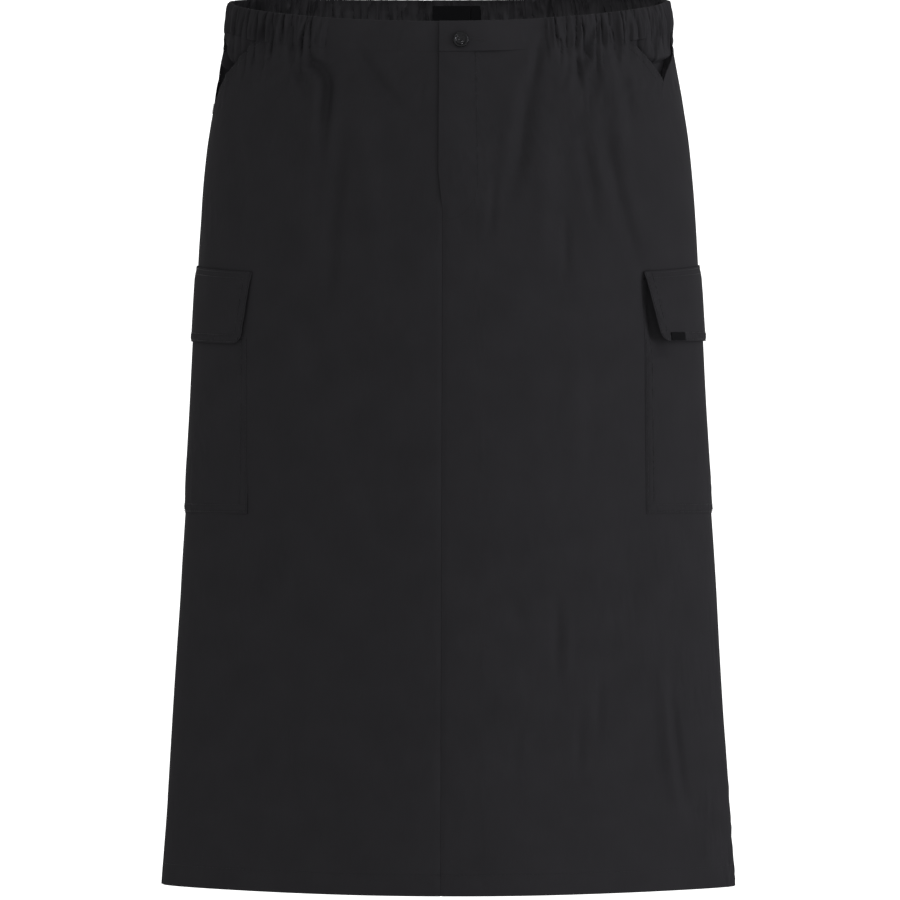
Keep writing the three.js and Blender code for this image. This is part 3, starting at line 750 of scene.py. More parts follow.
def panel_levels(hip_foot):
    """Rows close together under the gathers and wider apart further down."""
    runs = [(BAND_HEIGHT, hip_foot, 1.5), (hip_foot, 130, 2.2), (130, 260, 3.4),
            (260, LENGTH - 24, 8.5), (LENGTH - 24, LENGTH, 2.0)]
    levels = [BAND_HEIGHT]
    for low, high, step in runs:
        count = max(1, round((high - low) / step))
        levels.extend(np.linspace(low, high, count + 1)[1:])
    return np.array(levels)


def fly_lift(angles, levels):
    across = 1 - smooth(angles, FLY["under"], FLY["fade"])
    return FLY_LIFT * across * (1 - smooth(levels, FLY["closed"], FLY["foot"]))[:, None]


def pucker(angles, heights, away, reach=4.0, amount=0.3):
    """Small crumples beside a row of stitches, by the distance from it."""
    u, v = angles * 3.7, heights
    crumple = soft_noise(u / 3.1 + 31, v / 2.7 + 77) + 0.5 * soft_noise(u / 1.6, v / 1.9)
    return amount * crumple * np.exp(-(away / reach) ** 2)


def to_fly(angles):
    """Distance from the fly's row of stitches."""
    return np.abs(angles - FLY_ROW["width"]) * 3.5


def hem_turn(levels):
    """The turned hem is a little thicker, with a shallow groove where it is sewn."""
    from_hem = LENGTH - levels
    groove = -0.06 * np.exp(-((from_hem - HEM_TURN) / 1.6) ** 2)
    return (0.12 * (1 - smooth(from_hem, 13, 23)) + groove)[:, None]


def mouth_lift(angles, levels, edge, hip):
    """A pocket's mouth stands off a little, most of all halfway down its slant."""
    heights = level_heights(angles, levels)
    away = np.abs(angles - edge[:, None]) * length_of_degree(angles, heights)
    along_mouth = share_between(levels, BAND_HEIGHT, hip["foot"])[:, None]
    return hip["lift"] * np.sin(np.pi * along_mouth) * np.exp(-(away / 11) ** 2)


def make_front(name, side, hip, seam):
    """One front. `side` is 1 for the wearer's left, which laps over, and -1 for the right."""
    levels = panel_levels(hip["foot"])
    mouth = side * side_edge(levels, hip, seam)
    sewn = mouth - side * mouth_gap(levels, hip)
    if side > 0:
        angles = grid(lap_angle(levels), sewn, FRONT_COLUMNS)
    else:
        angles = grid(sewn, under_angle(levels), FRONT_COLUMNS)
    heights = level_heights(angles, levels)
    out = hem_turn(levels) + mouth_lift(angles, levels, mouth, hip)
    if side > 0:
        out = out + fly_lift(angles, levels) + pucker(angles, heights, to_fly(angles))
    below_fly = smooth(levels, FLY["closed"], FLY["foot"])[:, None]
    dips = {"start" if side > 0 else "end": CENTRE_DIP * below_fly}
    return cloth_wall(name, angles, heights, CLOTH, out=out, dips=dips)


def make_back():
    levels = panel_levels(70.0)
    start = seam_angle(levels, SEAM_LEFT)
    end = 360 - seam_angle(levels, SEAM_RIGHT)
    angles = grid(start, end, 240)
    heights = level_heights(angles, levels)
    return cloth_wall("back", angles, heights, CLOTH, out=hem_turn(levels))


front_left = make_front("front_left", 1, HIP_LEFT, SEAM_LEFT)
front_right = make_front("front_right", -1, HIP_RIGHT, SEAM_RIGHT)
back = make_back()
print("front faces:", len(front_left.data.polygons), "back faces:", len(back.data.polygons))

# %% [markdown]
# ## The waistband
# The band is a folded strip with elastic inside, flat only across the front centre. Its left
# end laps over its right end and takes the button, so it is lifted there by a band's thickness.

# %% Waistband in three stretches
BAND_LAP = dict(under=8.6, full=9.0, fade=22.0)
BAND_LIFT = BAND_THICK + SEAM_GAP
BAND_SWELL = 0.5
BAND_SUNK = 0.3
BAND_DIPS = dict(top=0.5, bottom=0.05)


def make_band(name, start, end, columns, lapped=False):
    below = np.linspace(0, BAND_HEIGHT, 17)
    angles = grid(np.full(below.shape, start), np.full(below.shape, end), columns)
    heights = waist_edge(angles) - below[:, None]
    swell = BAND_SWELL * np.sin(np.pi * below / BAND_HEIGHT)[:, None]
    out = BAND_PROUD + swell - BAND_SUNK
    if lapped:
        out = out + BAND_LIFT * (1 - smooth(angles, BAND_LAP["full"], BAND_LAP["fade"]))
    return cloth_wall(name, angles, heights, CLOTH, out=out, thick=BAND_THICK,
                      dips=BAND_DIPS)


left_seam = float(along(SEAM_LEFT, "angle", WAIST_Z)) - 0.1
right_seam = float(along(SEAM_RIGHT, "angle", WAIST_Z)) - 0.1
band_left = make_band("band_front_left", -FLY["lap"], left_seam, 340, lapped=True)
band_right = make_band("band_front_right", -right_seam, BAND_LAP["under"], 330)
band_back = make_band("band_back", left_seam + 0.2, 360 - right_seam - 0.2, 760)

# %% [markdown]
# ## Hip pockets
# What shows in each slanted mouth is a facing of the same cloth, which lies behind the front
# and runs under the back at the side seam. At its top it is raised and gathered by the band
# above it, and below that it is hollow, which makes the dark part of the mouth.

# %% Hip facings
FACING = dict(tuck=1.0, past_foot=12.0, groove_width=4.5)
PANEL_WALL = 1.4


def make_facing(name, side, hip, seam):
    levels = np.linspace(BAND_HEIGHT, hip["foot"] + FACING["past_foot"], 56)
    mouth = side_edge(np.minimum(levels, hip["foot"] - 1), hip, seam)
    far = seam_angle(levels, seam)
    tucked = hip["under"] * smooth(levels, 0.5 * hip["foot"], 0.75 * hip["foot"])
    angles = grid(mouth - hip["under"], far + tucked, 130)
    heights = level_heights(angles, levels)

    # `shown` is 0 at the mouth and 1 at the side seam, `down` is 0 at the band and 1 at the foot.
    shown = share_between(angles, mouth[:, None], np.maximum(far, mouth + 3)[:, None])
    down = share_between(levels, BAND_HEIGHT, hip["foot"])[:, None]

    # The gathers end at a line that may lean, and the cloth above it stands as far out as a panel.
    past = smooth(down + hip["lean"] * shown, hip["begins"] - 0.06, hip["begins"] + 0.12)
    raised = smooth(shown, 0.04, 0.3) * (1 - hip["arm"] * smooth(shown, 0.8, 1.0)) * (1 - past)

    # One facing has a short raised strip near its side seam, which catches the light.
    strip = smooth(shown, 0.62, 0.8) * smooth(down, 0.2, 0.28) * (1 - smooth(down, 0.42, 0.55))
    raised = np.maximum(raised, hip["strip"] * strip * (1 - smooth(shown, 0.9, 1.0)))

    # Everything below is hollow, and a groove beside the mouth puts a shadow along its edge.
    closing = 1 - smooth(down, 0.85, 1.0)
    hollow = hip["hollow"] * past * closing * (1 - raised)
    to_mouth = (angles - mouth[:, None]) * length_of_degree(angles, heights)
    groove = hip["groove"] * np.exp(-(to_mouth / FACING["groove_width"]) ** 2)
    groove = groove * smooth(down, 0.1, 0.3) * closing
    deep = PANEL_WALL + FACING["tuck"]
    out = -deep + deep * raised - hollow - groove
    if side < 0:
        angles, out, heights = (360 - angles)[:, ::-1], out[:, ::-1], heights[:, ::-1]
    return cloth_wall(name, angles, heights, CLOTH, out=out)


facing_left = make_facing("hip_facing_left_cloth", 1, HIP_LEFT, SEAM_LEFT)
facing_right = make_facing("hip_facing_right_cloth", -1, HIP_RIGHT, SEAM_RIGHT)

# %% [markdown]
# ## Cargo pockets
# Each pocket is a flat patch sewn round the side seam, under a flap with rounded corners. The
# patch follows the panel closely. The flap is sewn at its top and stands off towards its foot,
# which leaves a shadow under its front edge.

# %% Pockets and flaps
CARGO = dict(top=238.0, bottom=434.0, thick=0.9)
CARGO_LEFT = dict(front=51.9, foot=48.8)
CARGO_RIGHT = dict(front=50.9, foot=47.8)
FLAP = dict(top=224.0, bottom=288.0, corner=9.0, over=236.0, thick=1.0)
FLAP_LEFT = dict(front=51.5, slant=4.2, dip=8.0, bottom_dip=2.0, stand_off=5.4)
FLAP_RIGHT = dict(front=49.3, slant=3.0, dip=8.0, bottom_dip=4.0, stand_off=1.4)
POCKET_OUT = SEAM_GAP + CARGO["thick"]


def to_side(angles, side):
    return angles if side > 0 else (360 - angles)[:, ::-1]


def cargo_edge(drops, style):
    """Angle of a pocket's front edge, which stays upright while the skirt widens."""
    share = share_between(drops, CARGO["top"], CARGO["bottom"])
    return style["front"] + (style["foot"] - style["front"]) * share


ROW_INSETS = (1.5, 7.5)
TOP_INSETS = (1.5, 6.0)
MOUTH_INSETS = (1.5, 7.0)


def edge_groove(distance, rows):
    """Shallow grooves where rows of stitching draw the cloth down."""
    return sum(-0.22 * np.exp(-((distance - row) / 0.9) ** 2) for row in rows)


def nearest_edge(angles, heights, to_bottom):
    """Distance from the nearest of a piece's two ends and its foot."""
    degree = length_of_degree(angles, heights)
    to_front = (angles - angles[:, :1]) * degree
    to_back = (angles[:, -1:] - angles) * degree
    return np.minimum(np.minimum(to_front, to_back), to_bottom)


def make_pocket(name, side, style):
    drops = np.linspace(CARGO["top"], CARGO["bottom"], 120)
    edge = cargo_edge(drops, style)
    angles = grid(edge, 180 - edge, 170)
    heights = np.broadcast_to((WAIST_Z - drops)[:, None], angles.shape)
    nearest = nearest_edge(angles, heights, (CARGO["bottom"] - drops)[:, None])
    out = POCKET_OUT + edge_groove(nearest, ROW_INSETS)
    out = out + pucker(angles, heights, nearest - 4.5, amount=0.45)
    out = out + 0.5 * smooth(nearest, 8, 35) - 0.8 * np.exp(-(nearest / 3.0) ** 2)
    if side < 0:
        out = out[:, ::-1]
    return cloth_wall(name, to_side(angles, side), heights, CLOTH, out=out, thick=CARGO["thick"])


def flap_inset(below, style):
    depth = FLAP["bottom"] - FLAP["top"]
    into = np.clip(below - (depth - FLAP["corner"]), 0, FLAP["corner"])
    curve = FLAP["corner"] - np.sqrt(np.maximum(0, FLAP["corner"] ** 2 - into ** 2))
    degree = length_of_degree(style["front"], WAIST_Z - FLAP["bottom"])
    return style["slant"] * below / depth + curve / degree


def flap_heights(angles, below, style):
    down = below / (FLAP["bottom"] - FLAP["top"])
    dips = style["dip"] + (style["bottom_dip"] - style["dip"]) * down
    forward = np.clip((90 - angles) / (90 - style["front"]), 0, None)
    return WAIST_Z - FLAP["top"] - below - dips * forward


def flap_out(angles, below, style):
    """A flap lies on the panel at its seam, rides over the pocket and stands off at its foot."""
    over = smooth(FLAP["top"] + below, FLAP["top"], FLAP["over"])
    down = share_between(below, 0, FLAP["bottom"] - FLAP["top"])
    forward = np.clip((96 - angles) / 40, 0, 1)
    lying = 0.35 * smooth(down, 0.05, 0.5)
    stand = style["stand_off"] * down ** 1.3 * forward
    return SEAM_GAP + FLAP["thick"] + over * POCKET_OUT + lying + stand


def make_flap(name, side, style):
    depth = FLAP["bottom"] - FLAP["top"]
    straight = np.linspace(0, depth - FLAP["corner"], 40)
    turned = depth - FLAP["corner"] + FLAP["corner"] * np.sin(np.radians(np.linspace(6, 88, 16)))
    below = np.concatenate([straight, turned])
    edge = style["front"] + flap_inset(below, style)
    angles = grid(edge, 180 - edge, 170)
    heights = flap_heights(angles, below[:, None], style)
    nearest = nearest_edge(angles, heights, (depth - below)[:, None])
    out = flap_out(angles, below[:, None], style) + edge_groove(nearest, ROW_INSETS)
    out = out + pucker(angles, heights, nearest - 4.5, amount=0.6)
    if side < 0:
        out, heights = out[:, ::-1], heights[:, ::-1]
    return cloth_wall(name, to_side(angles, side), heights, CLOTH, out=out, thick=FLAP["thick"],
                      gaping=False)


pocket_left = make_pocket("cargo_left", 1, CARGO_LEFT)
pocket_right = make_pocket("cargo_right", -1, CARGO_RIGHT)
flap_left = make_flap("flap_left", 1, FLAP_LEFT)
flap_right = make_flap("flap_right", -1, FLAP_RIGHT)

# %% [markdown]
# ## Labels
# A woven label is sewn inside the back of the waistband, with a small size tab beside it, and a
# smaller tag on the left flap. All three are left blank.

# %% Label, tab and tag
LABEL_SIZE = dict(start=175.0, end=185.2, top=5.0, bottom=18.0)
TAB_SIZE = dict(start=172.3, end=174.6, top=5.0, bottom=17.0)
TAG_SIZE = dict(start=59.2, end=65.6, top=280.4, bottom=287.2)
TAG_THICK = 0.7


def make_strip(name, size, heights_of, out, gathered, gaping=True):
    below = np.linspace(size["top"], size["bottom"], 14)
    angles = grid(np.full(below.shape, size["start"]), np.full(below.shape, size["end"]), 40)
    heights = heights_of(angles, below[:, None])
    return cloth_wall(name, angles, heights, LABEL, out=out(angles, below[:, None]),
                      thick=TAG_THICK, gathered=gathered, gaping=gaping)


def label_heights(angles, below):
    return WAIST_Z + BACK_RISE - below + 0 * angles


def tag_heights(angles, below):
    return flap_heights(angles, below - FLAP["top"], FLAP_LEFT)


def label_out(angles, below):
    return 0 * angles + BAND_PROUD - BAND_THICK - SEAM_GAP


def tag_out(angles, below):
    return flap_out(angles, below - FLAP["top"], FLAP_LEFT) + TAG_THICK + 0.1


waist_label = make_strip("label_blank", LABEL_SIZE, label_heights, label_out, 0.0)
size_tab = make_strip("size_tab_blank", TAB_SIZE, label_heights, label_out, 0.0)
flap_tag = make_strip("tag_blank", TAG_SIZE, tag_heights, tag_out, 1.0, gaping=False)

# %% [markdown]
# ## The button
# A shank button of black plated metal: a raised rim round a dished face, with a small hub. It
# is turned from one profile with a spin, merged at its axis and given normals that point out.

# %% Button from a spun profile
BUTTON = dict(angle=4.3, below=15.5, diameter=13.0, shank=3.0, neck=3.3, head=3.0, rim=1.15)


def button_profile():
    """Corners of the profile from the foot to the middle of the face, by radius and height."""
    head = BUTTON["diameter"] / 2
    neck = BUTTON["neck"]
    top = neck + BUTTON["head"]
    round_by = BUTTON["rim"]
    stem = BUTTON["shank"] / 2
    rim = [(head - round_by + round_by * math.cos(a), top - round_by + round_by * math.sin(a))
           for a in np.radians(np.linspace(-50, 150, 14))]
    dish = [(head - 2.7, top - 1.0), (head - 3.2, top - 1.15), (2.6, top - 1.2), (2.2, top - 0.95),
            (1.7, top - 0.95), (1.3, top - 1.5), (0, top - 1.6)]
    return [(0, 0), (stem, 0), (stem, neck - 0.2), (stem + 0.6, neck), (head - 1.4, neck + 0.1),
            *rim, *dish]


def make_button():
    mesh = bpy.data.meshes.new("metal_button")
    built = bmesh.new()
    last = None
    for radius, height in button_profile():
        vertex = built.verts.new((radius, 0, height))
        if last is not None:
            built.edges.new((last, vertex))
        last = vertex
    bmesh.ops.spin(built, geom=built.verts[:] + built.edges[:], axis=(0, 0, 1), cent=(0, 0, 0),
                   angle=2 * math.pi, steps=64, use_merge=True)
    bmesh.ops.remove_doubles(built, verts=built.verts, dist=0.001)
    bmesh.ops.recalc_face_normals(built, faces=built.faces)
    built.to_mesh(mesh)
    built.free()

    z = float(waist_edge(BUTTON["angle"])) - BUTTON["below"]
    seat = cloth_point(BUTTON["angle"], z, BAND_PROUD + SEAM_GAP, 0.0)
    run = np.array([*section_run(BUTTON["angle"], WAIST_Z - z), 0.0])
    run /= np.linalg.norm(run)
    facing = np.array([run[1], -run[0], 0.0])
    points = np.array([v.co[:] for v in mesh.vertices])
    upright = np.array([0, 0, 1.0])
    placed = seat + points[:, :1] * run + points[:, 1:2] * upright + points[:, 2:] * facing
    mesh.vertices.foreach_set("co", (placed * MM).ravel())
    if np.linalg.det(np.stack([run, [0, 0, 1.0], facing])) < 0:
        mesh.flip_normals()
    mesh.polygons.foreach_set("use_smooth", [True] * len(mesh.polygons))
    mesh.materials.append(METAL)
    obj = bpy.data.objects.new("metal_button", mesh)
    scene.collection.objects.link(obj)
    return obj


button = make_button()

# %% [markdown]
# ## Stitching
# Rows of lockstitch are what repeats most on a skirt. Geometry Nodes lay a small oval stitch at
# every pitch along a path and turn it to the path. The same tree sews the button's hole and the
# bar tacks, with a shorter pitch and the stitches turned across their path.

# %% Stitch tree


def stitch_tree():
    tree = bpy.data.node_groups.new("row_of_stitches", "GeometryNodeTree")
    new = tree.interface.new_socket
    new(name="Path", in_out="INPUT", socket_type="NodeSocketGeometry")
    for title, value in (("Pitch", 0.003), ("Stitch Length", 0.0024), ("Thread Width", 0.0005),
                         ("Turn", 0.0)):
        new(name=title, in_out="INPUT", socket_type="NodeSocketFloat").default_value = value
    new(name="Thread", in_out="INPUT", socket_type="NodeSocketMaterial")
    new(name="Geometry", in_out="OUTPUT", socket_type="NodeSocketGeometry")
    link = tree.links.new
    start, end = add_node(tree, "NodeGroupInput"), add_node(tree, "NodeGroupOutput")

    curve = add_node(tree, "GeometryNodeMeshToCurve")
    link(start.outputs["Path"], curve.inputs["Mesh"])
    points = add_node(tree, "GeometryNodeCurveToPoints", mode="LENGTH")
    link(curve.outputs[0], points.inputs["Curve"])
    link(start.outputs["Pitch"], points.inputs["Length"])

    ball = add_node(tree, "GeometryNodeMeshUVSphere", {"Segments": 6, "Rings": 4, "Radius": 0.5})
    rounded = add_node(tree, "GeometryNodeSetShadeSmooth")
    link(ball.outputs["Mesh"], rounded.inputs["Geometry"])
    size = add_node(tree, "ShaderNodeCombineXYZ")
    link(start.outputs["Stitch Length"], size.inputs["Z"])
    link(start.outputs["Thread Width"], size.inputs["X"])
    link(start.outputs["Thread Width"], size.inputs["Y"])
    shaped = add_node(tree, "GeometryNodeTransform")
    link(rounded.outputs[0], shaped.inputs["Geometry"])
    link(size.outputs[0], shaped.inputs["Scale"])

    aim = add_node(tree, "FunctionNodeAlignRotationToVector", axis="Z")
    link(points.outputs["Tangent"], aim.inputs["Vector"])
    across = add_node(tree, "FunctionNodeRotateRotation", rotation_space="GLOBAL")
    about = add_node(tree, "FunctionNodeAxisAngleToRotation", {"Axis": (0, 1, 0)})
    link(start.outputs["Turn"], about.inputs["Angle"])
    link(aim.outputs[0], across.inputs[0])
    link(about.outputs[0], across.inputs[1])

    place = add_node(tree, "GeometryNodeInstanceOnPoints")
    link(points.outputs["Points"], place.inputs["Points"])
    link(shaped.outputs[0], place.inputs["Instance"])
    link(across.outputs[0], place.inputs["Rotation"])
    real = add_node(tree, "GeometryNodeRealizeInstances")
    paint = add_node(tree, "GeometryNodeSetMaterial")
    link(place.outputs[0], real.inputs[0])
    link(real.outputs[0], paint.inputs["Geometry"])
    link(start.outputs["Thread"], paint.inputs["Material"])
    link(paint.outputs[0], end.inputs["Geometry"])
    return tree


STITCHES = stitch_tree()


def sew(name, paths, pitch=3.0, stitch=2.4, width=0.5, turn=0.0, thread=THREAD):
    """Rows of stitches along lists of points in millimetres, as one plain mesh."""
    verts, edges = [], []
    for path in paths:
        first = len(verts)
        verts.extend((np.asarray(path) * MM).tolist())
        edges.extend((first + i, first + i + 1) for i in range(len(path) - 1))
    mesh = bpy.data.meshes.new(name + "_path")
    mesh.from_pydata(verts, edges, [])
    guide = bpy.data.objects.new(name + "_path", mesh)
    scene.collection.objects.link(guide)
    modifier = guide.modifiers.new("stitches", "NODES")
    modifier.node_group = STITCHES
    values = {"Pitch": pitch * MM, "Stitch Length": stitch * MM, "Thread Width": width * MM,
              "Turn": math.radians(turn), "Thread": thread}
    for item in STITCHES.interface.items_tree:
        if item.in_out == "INPUT" and item.name in values:
            modifier[item.identifier] = values[item.name]
    bpy.context.view_layer.update()
    evaluated = guide.evaluated_get(bpy.context.evaluated_depsgraph_get())
    made = bpy.data.meshes.new_from_object(evaluated)
    made.name = name
    sewn = bpy.data.objects.new(name, made)
    scene.collection.objects.link(sewn)
    bpy.data.objects.remove(guide)
    print(name, "stitch faces:", len(made.polygons))
    return sewn


# %% [markdown]
# ## Where the rows run
# Each row follows the edges of its own piece, moved in by its distance from them. It is placed
# on the dressed cloth by the same function as the piece, so it rides over folds and gathers.

# %% Paths for the stitching


def panel_line(angles, levels, out=0.1):
    """Points on the fronts or the back, by angle and level."""
    angles, levels = np.asarray(angles, float), np.asarray(levels, float)
    seam = waist_edge(angles) - BAND_HEIGHT + BAND_TUCK
    heights = seam + (HEM_Z - seam) * (levels - BAND_HEIGHT) / (LENGTH - BAND_HEIGHT)
    return cloth_point(angles, heights, out)


def fly_stitching():
    """The J that holds the fly's facing: straight down, then round to the centre seam."""
    width, turn, foot = FLY_ROW["width"], FLY_ROW["turn"], FLY_ROW["foot"]
    straight = np.linspace(BAND_HEIGHT + 1.0, turn, 60)
    curve = np.radians(np.linspace(0, 90, 24))
    angles = np.concatenate([np.full(60, width), (width - 1.0) * np.cos(curve) + 1.0])
    levels = np.concatenate([straight, turn + (foot - turn) * np.sin(curve)])
    lift = FLY_LIFT * (1 - smooth(angles, FLY["under"], FLY["fade"]))
    lift *= 1 - smooth(levels, FLY["closed"], FLY["foot"])
    return panel_line(angles, levels, 0.1 + lift)


def mouth_stitching(side, hip, seam, inside):
    """A row beside a slanted pocket mouth."""
    levels = np.linspace(BAND_HEIGHT + 1, hip["foot"] - 2, 50)
    edge = side_edge(levels, hip, seam)
    degree = length_of_degree(edge, level_heights(np.zeros(1), levels)[:, 0])
    along_mouth = share_between(levels, BAND_HEIGHT, hip["foot"])
    lift = hip["lift"] * np.sin(np.pi * along_mouth) * np.exp(-(inside / 11) ** 2)
    angles = edge - inside / degree
    return panel_line(angles if side > 0 else -angles, levels, lift + 0.1)


def pocket_stitching(side, style, inside):
    """A row round the three sewn sides of a cargo pocket."""
    low, high = FLAP["bottom"] + 1, CARGO["bottom"] - inside
    down = np.linspace(low, high, 60)
    near = cargo_edge(down, style) + inside / length_of_degree(style["foot"], WAIST_Z - down)
    across = np.linspace(near[-1], 180 - near[-1], 80)
    angles = np.concatenate([near, across, 180 - near[::-1]])
    drops = np.concatenate([down, np.full(80, high), down[::-1]])
    angles = angles if side > 0 else 360 - angles
    return cloth_point(angles, WAIST_Z - drops, POCKET_OUT + 0.05)


def flap_stitching(side, style, inside):
    """A row round the free edges of a flap."""
    depth = FLAP["bottom"] - FLAP["top"]
    corner = FLAP["corner"] - inside
    straight = np.linspace(0.5, depth - FLAP["corner"], 24)
    turned = depth - FLAP["corner"] + corner * np.sin(np.radians(np.linspace(4, 88, 12)))
    below = np.concatenate([straight, turned])
    degree = float(length_of_degree(style["front"], WAIST_Z - FLAP["bottom"]))
    into = np.clip(below - (depth - FLAP["corner"]), 0, corner)
    curve = corner - np.sqrt(np.maximum(0, corner ** 2 - into ** 2))
    near = style["front"] + style["slant"] * below / depth + (inside + curve) / degree
    middle = np.linspace(near[-1], 180 - near[-1], 70)
    angles = np.concatenate([near, middle, 180 - near[::-1]])
    below = np.concatenate([below, np.full(70, below[-1]), below[::-1]])
    heights = flap_heights(angles, below, style)
    out = flap_out(angles, below, style) + 0.05
    return cloth_point(angles if side > 0 else 360 - angles, heights, out, gaping=False)


def flap_top_stitching(side, style, inside):
    angles = np.linspace(style["front"] + 1, 179 - style["front"], 80)
    heights = flap_heights(angles, inside, style)
    out = flap_out(angles, inside, style) + 0.05
    return cloth_point(angles if side > 0 else 360 - angles, heights, out, gaping=False)


def mouth_rows(side, hip, seam):
    return [mouth_stitching(side, hip, seam, inside) for inside in MOUTH_INSETS]


def pocket_rows(side, style):
    return [pocket_stitching(side, style, inside) for inside in ROW_INSETS]


def flap_rows(side, style):
    round_it = [flap_stitching(side, style, inside) for inside in ROW_INSETS]
    return round_it + [flap_top_stitching(side, style, inside) for inside in TOP_INSETS]


# %% Sew the rows
fly_row = sew("fly_stitches", [fly_stitching()])
mouth_left = sew("hip_mouth_stitches_left", mouth_rows(1, HIP_LEFT, SEAM_LEFT))
mouth_right = sew("hip_mouth_stitches_right", mouth_rows(-1, HIP_RIGHT, SEAM_RIGHT))
pocket_row_left = sew("cargo_stitches_left", pocket_rows(1, CARGO_LEFT))
pocket_row_right = sew("cargo_stitches_right", pocket_rows(-1, CARGO_RIGHT))
flap_rows_left = sew("flap_stitches_left", flap_rows(1, FLAP_LEFT))
flap_rows_right = sew("flap_stitches_right", flap_rows(-1, FLAP_RIGHT))


def hem_stitching(start, end):
    angles = np.linspace(start, end, 400)
    return panel_line(angles, np.full(400, LENGTH - HEM_TURN), 0.05)


HEM_PITCH = 3.4
hem_left = sew("hem_stitches_left", [hem_stitching(0, 89.5)], pitch=HEM_PITCH)
hem_right = sew("hem_stitches_right", [hem_stitching(-89.5, -1)], pitch=HEM_PITCH)
hem_back = sew("hem_stitches_back", [hem_stitching(90.5, 269.5)], pitch=HEM_PITCH)

# %% [markdown]
# A short dense bar holds the foot of each pocket mouth. The buttonhole is a keyhole: its
# stitches go round the eyelet and along both sides of the slot.

# %% Bar tacks and buttonhole


def tack(side, hip, seam, length=8.0):
    """A short dense bar of stitches at the foot of a pocket mouth."""
    level = hip["foot"] - 1
    angle = side * (side_edge(np.array([level]), hip, seam)[0] - 0.6)
    steps = np.linspace(-length / 2, length / 2, 20)
    return panel_line(np.full(20, angle), level + steps, 0.15)


tacks = sew("bar_tacks", [tack(1, HIP_LEFT, SEAM_LEFT), tack(-1, HIP_RIGHT, SEAM_RIGHT)],
            pitch=0.55, stitch=1.9, width=0.5, turn=90)


def buttonhole_path():
    """Round the keyhole's eyelet, then along both sides of its slot."""
    eye, slot, long = 2.9, 1.2, 19.5
    start = math.asin(slot / eye)
    turn = np.linspace(start, 2 * math.pi - start, 40)
    across = np.concatenate([[long], eye * np.cos(turn), [long]])
    up = np.concatenate([[slot], eye * np.sin(turn), [-slot]])
    z = float(waist_edge(BUTTON["angle"])) - BUTTON["below"]
    angles = BUTTON["angle"] + across / float(length_of_degree(BUTTON["angle"], z))
    lift = BAND_LIFT * (1 - smooth(angles, BAND_LAP["full"], BAND_LAP["fade"]))
    return cloth_point(angles, z + up, BAND_PROUD + lift + 0.25, 1.0)


buttonhole = sew("buttonhole_stitches", [buttonhole_path()], pitch=0.5, stitch=0.9, width=0.45)

# %% [markdown]
# ## Studio and camera
# The skirt is shown in a pale light tent: a wide bowl that glows softly and joins the floor to the
# walls without an edge. Two soft lamps on the right give the brighter side that the real
# garment shows. A small low lamp picks out creases, and a narrow spot from above lights the
# inside of the back waistband. The lens is long and level with the middle of the skirt.

# %% Tent
TENT_REACH = 9
TENT_GLOW = (1.0, 1.32)


def make_tent():
    """A floor that curves up into a wall all round, glowing a little more on one side."""
    floor_z, flat, bend, top = -1.2, 6.0, 3.0, 7.0
    profile = [(0, floor_z), (flat / 2, floor_z), (flat, floor_z)]
    profile += [(flat + bend * math.sin(a), floor_z + bend - bend * math.cos(a))
                for a in np.radians(np.linspace(10, 90, 9))]
    profile += [(flat + bend, top)]
    steps = 96
    verts, faces = [], []
    for radius, z in profile:
        for k in range(steps):
            a = 2 * math.pi * k / steps
            verts.append((radius * math.cos(a), radius * math.sin(a), z))
    for r in range(len(profile) - 1):
        for k in range(steps):
            n = (k + 1) % steps
            faces.append((r * steps + k, r * steps + n, (r + 1) * steps + n, (r + 1) * steps + k))
    mesh = bpy.data.meshes.new("tent")
    mesh.from_pydata(verts, [], faces)
    mesh.polygons.foreach_set("use_smooth", [True] * len(faces))
    obj = bpy.data.objects.new("tent", mesh)
    scene.collection.objects.link(obj)
    material, tree, shader = new_material("tent_white")
    shader.inputs["Base Color"].default_value = (0.2, 0.2, 0.2, 1)
    shader.inputs["Roughness"].default_value = 1.0
    shader.inputs["Specular IOR Level"].default_value = 0.0
    coords = add_node(tree, "ShaderNodeTexCoord")
    parts = add_node(tree, "ShaderNodeSeparateXYZ")
    glow = add_node(tree, "ShaderNodeMapRange", {
        "From Min": -TENT_REACH, "From Max": TENT_REACH, "To Min": TENT_GLOW[0],
        "To Max": TENT_GLOW[1]})
    tree.links.new(coords.outputs["Object"], parts.inputs[0])
    tree.links.new(parts.outputs["X"], glow.inputs["Value"])
    tree.links.new(glow.outputs[0], shader.inputs["Emission Strength"])
    shader.inputs["Emission Color"].default_value = (1, 1, 1, 1)
    mesh.materials.append(material)
    obj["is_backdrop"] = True
    return obj


# %% Lamps


def aim_lamp(name, data, place, target):
    """Puts a lamp at its place and turns it towards its target."""
    lamp = bpy.data.objects.new(name, data)
    lamp.location = place
    lamp.rotation_euler = (Vector(target) - Vector(place)).to_track_quat("-Z", "Y").to_euler()
    scene.collection.objects.link(lamp)


def add_lamp(name, place, target, size, power, colour=(1, 1, 1)):
    data = bpy.data.lights.new(name, "AREA")
    data.shape = "RECTANGLE"
    data.size, data.size_y = size
    data.energy = power
    data.color = colour
    aim_lamp(name, data, place, target)


make_tent()
middle = (0, 0, (WAIST_Z + HEM_Z) / 2 * MM)
COOL = (0.94, 0.94, 1.0)
add_lamp("right_softbox", (3.2, -1.9, 0.7), middle, (0.7, 1.0), 35, COOL)
add_lamp("side_strip", (4.0, -0.6, -0.5), middle, (0.4, 1.2), 80, COOL)
add_lamp("low_sparkle", (1.5, -3.6, -1.0), middle, (0.3, 0.3), 8)

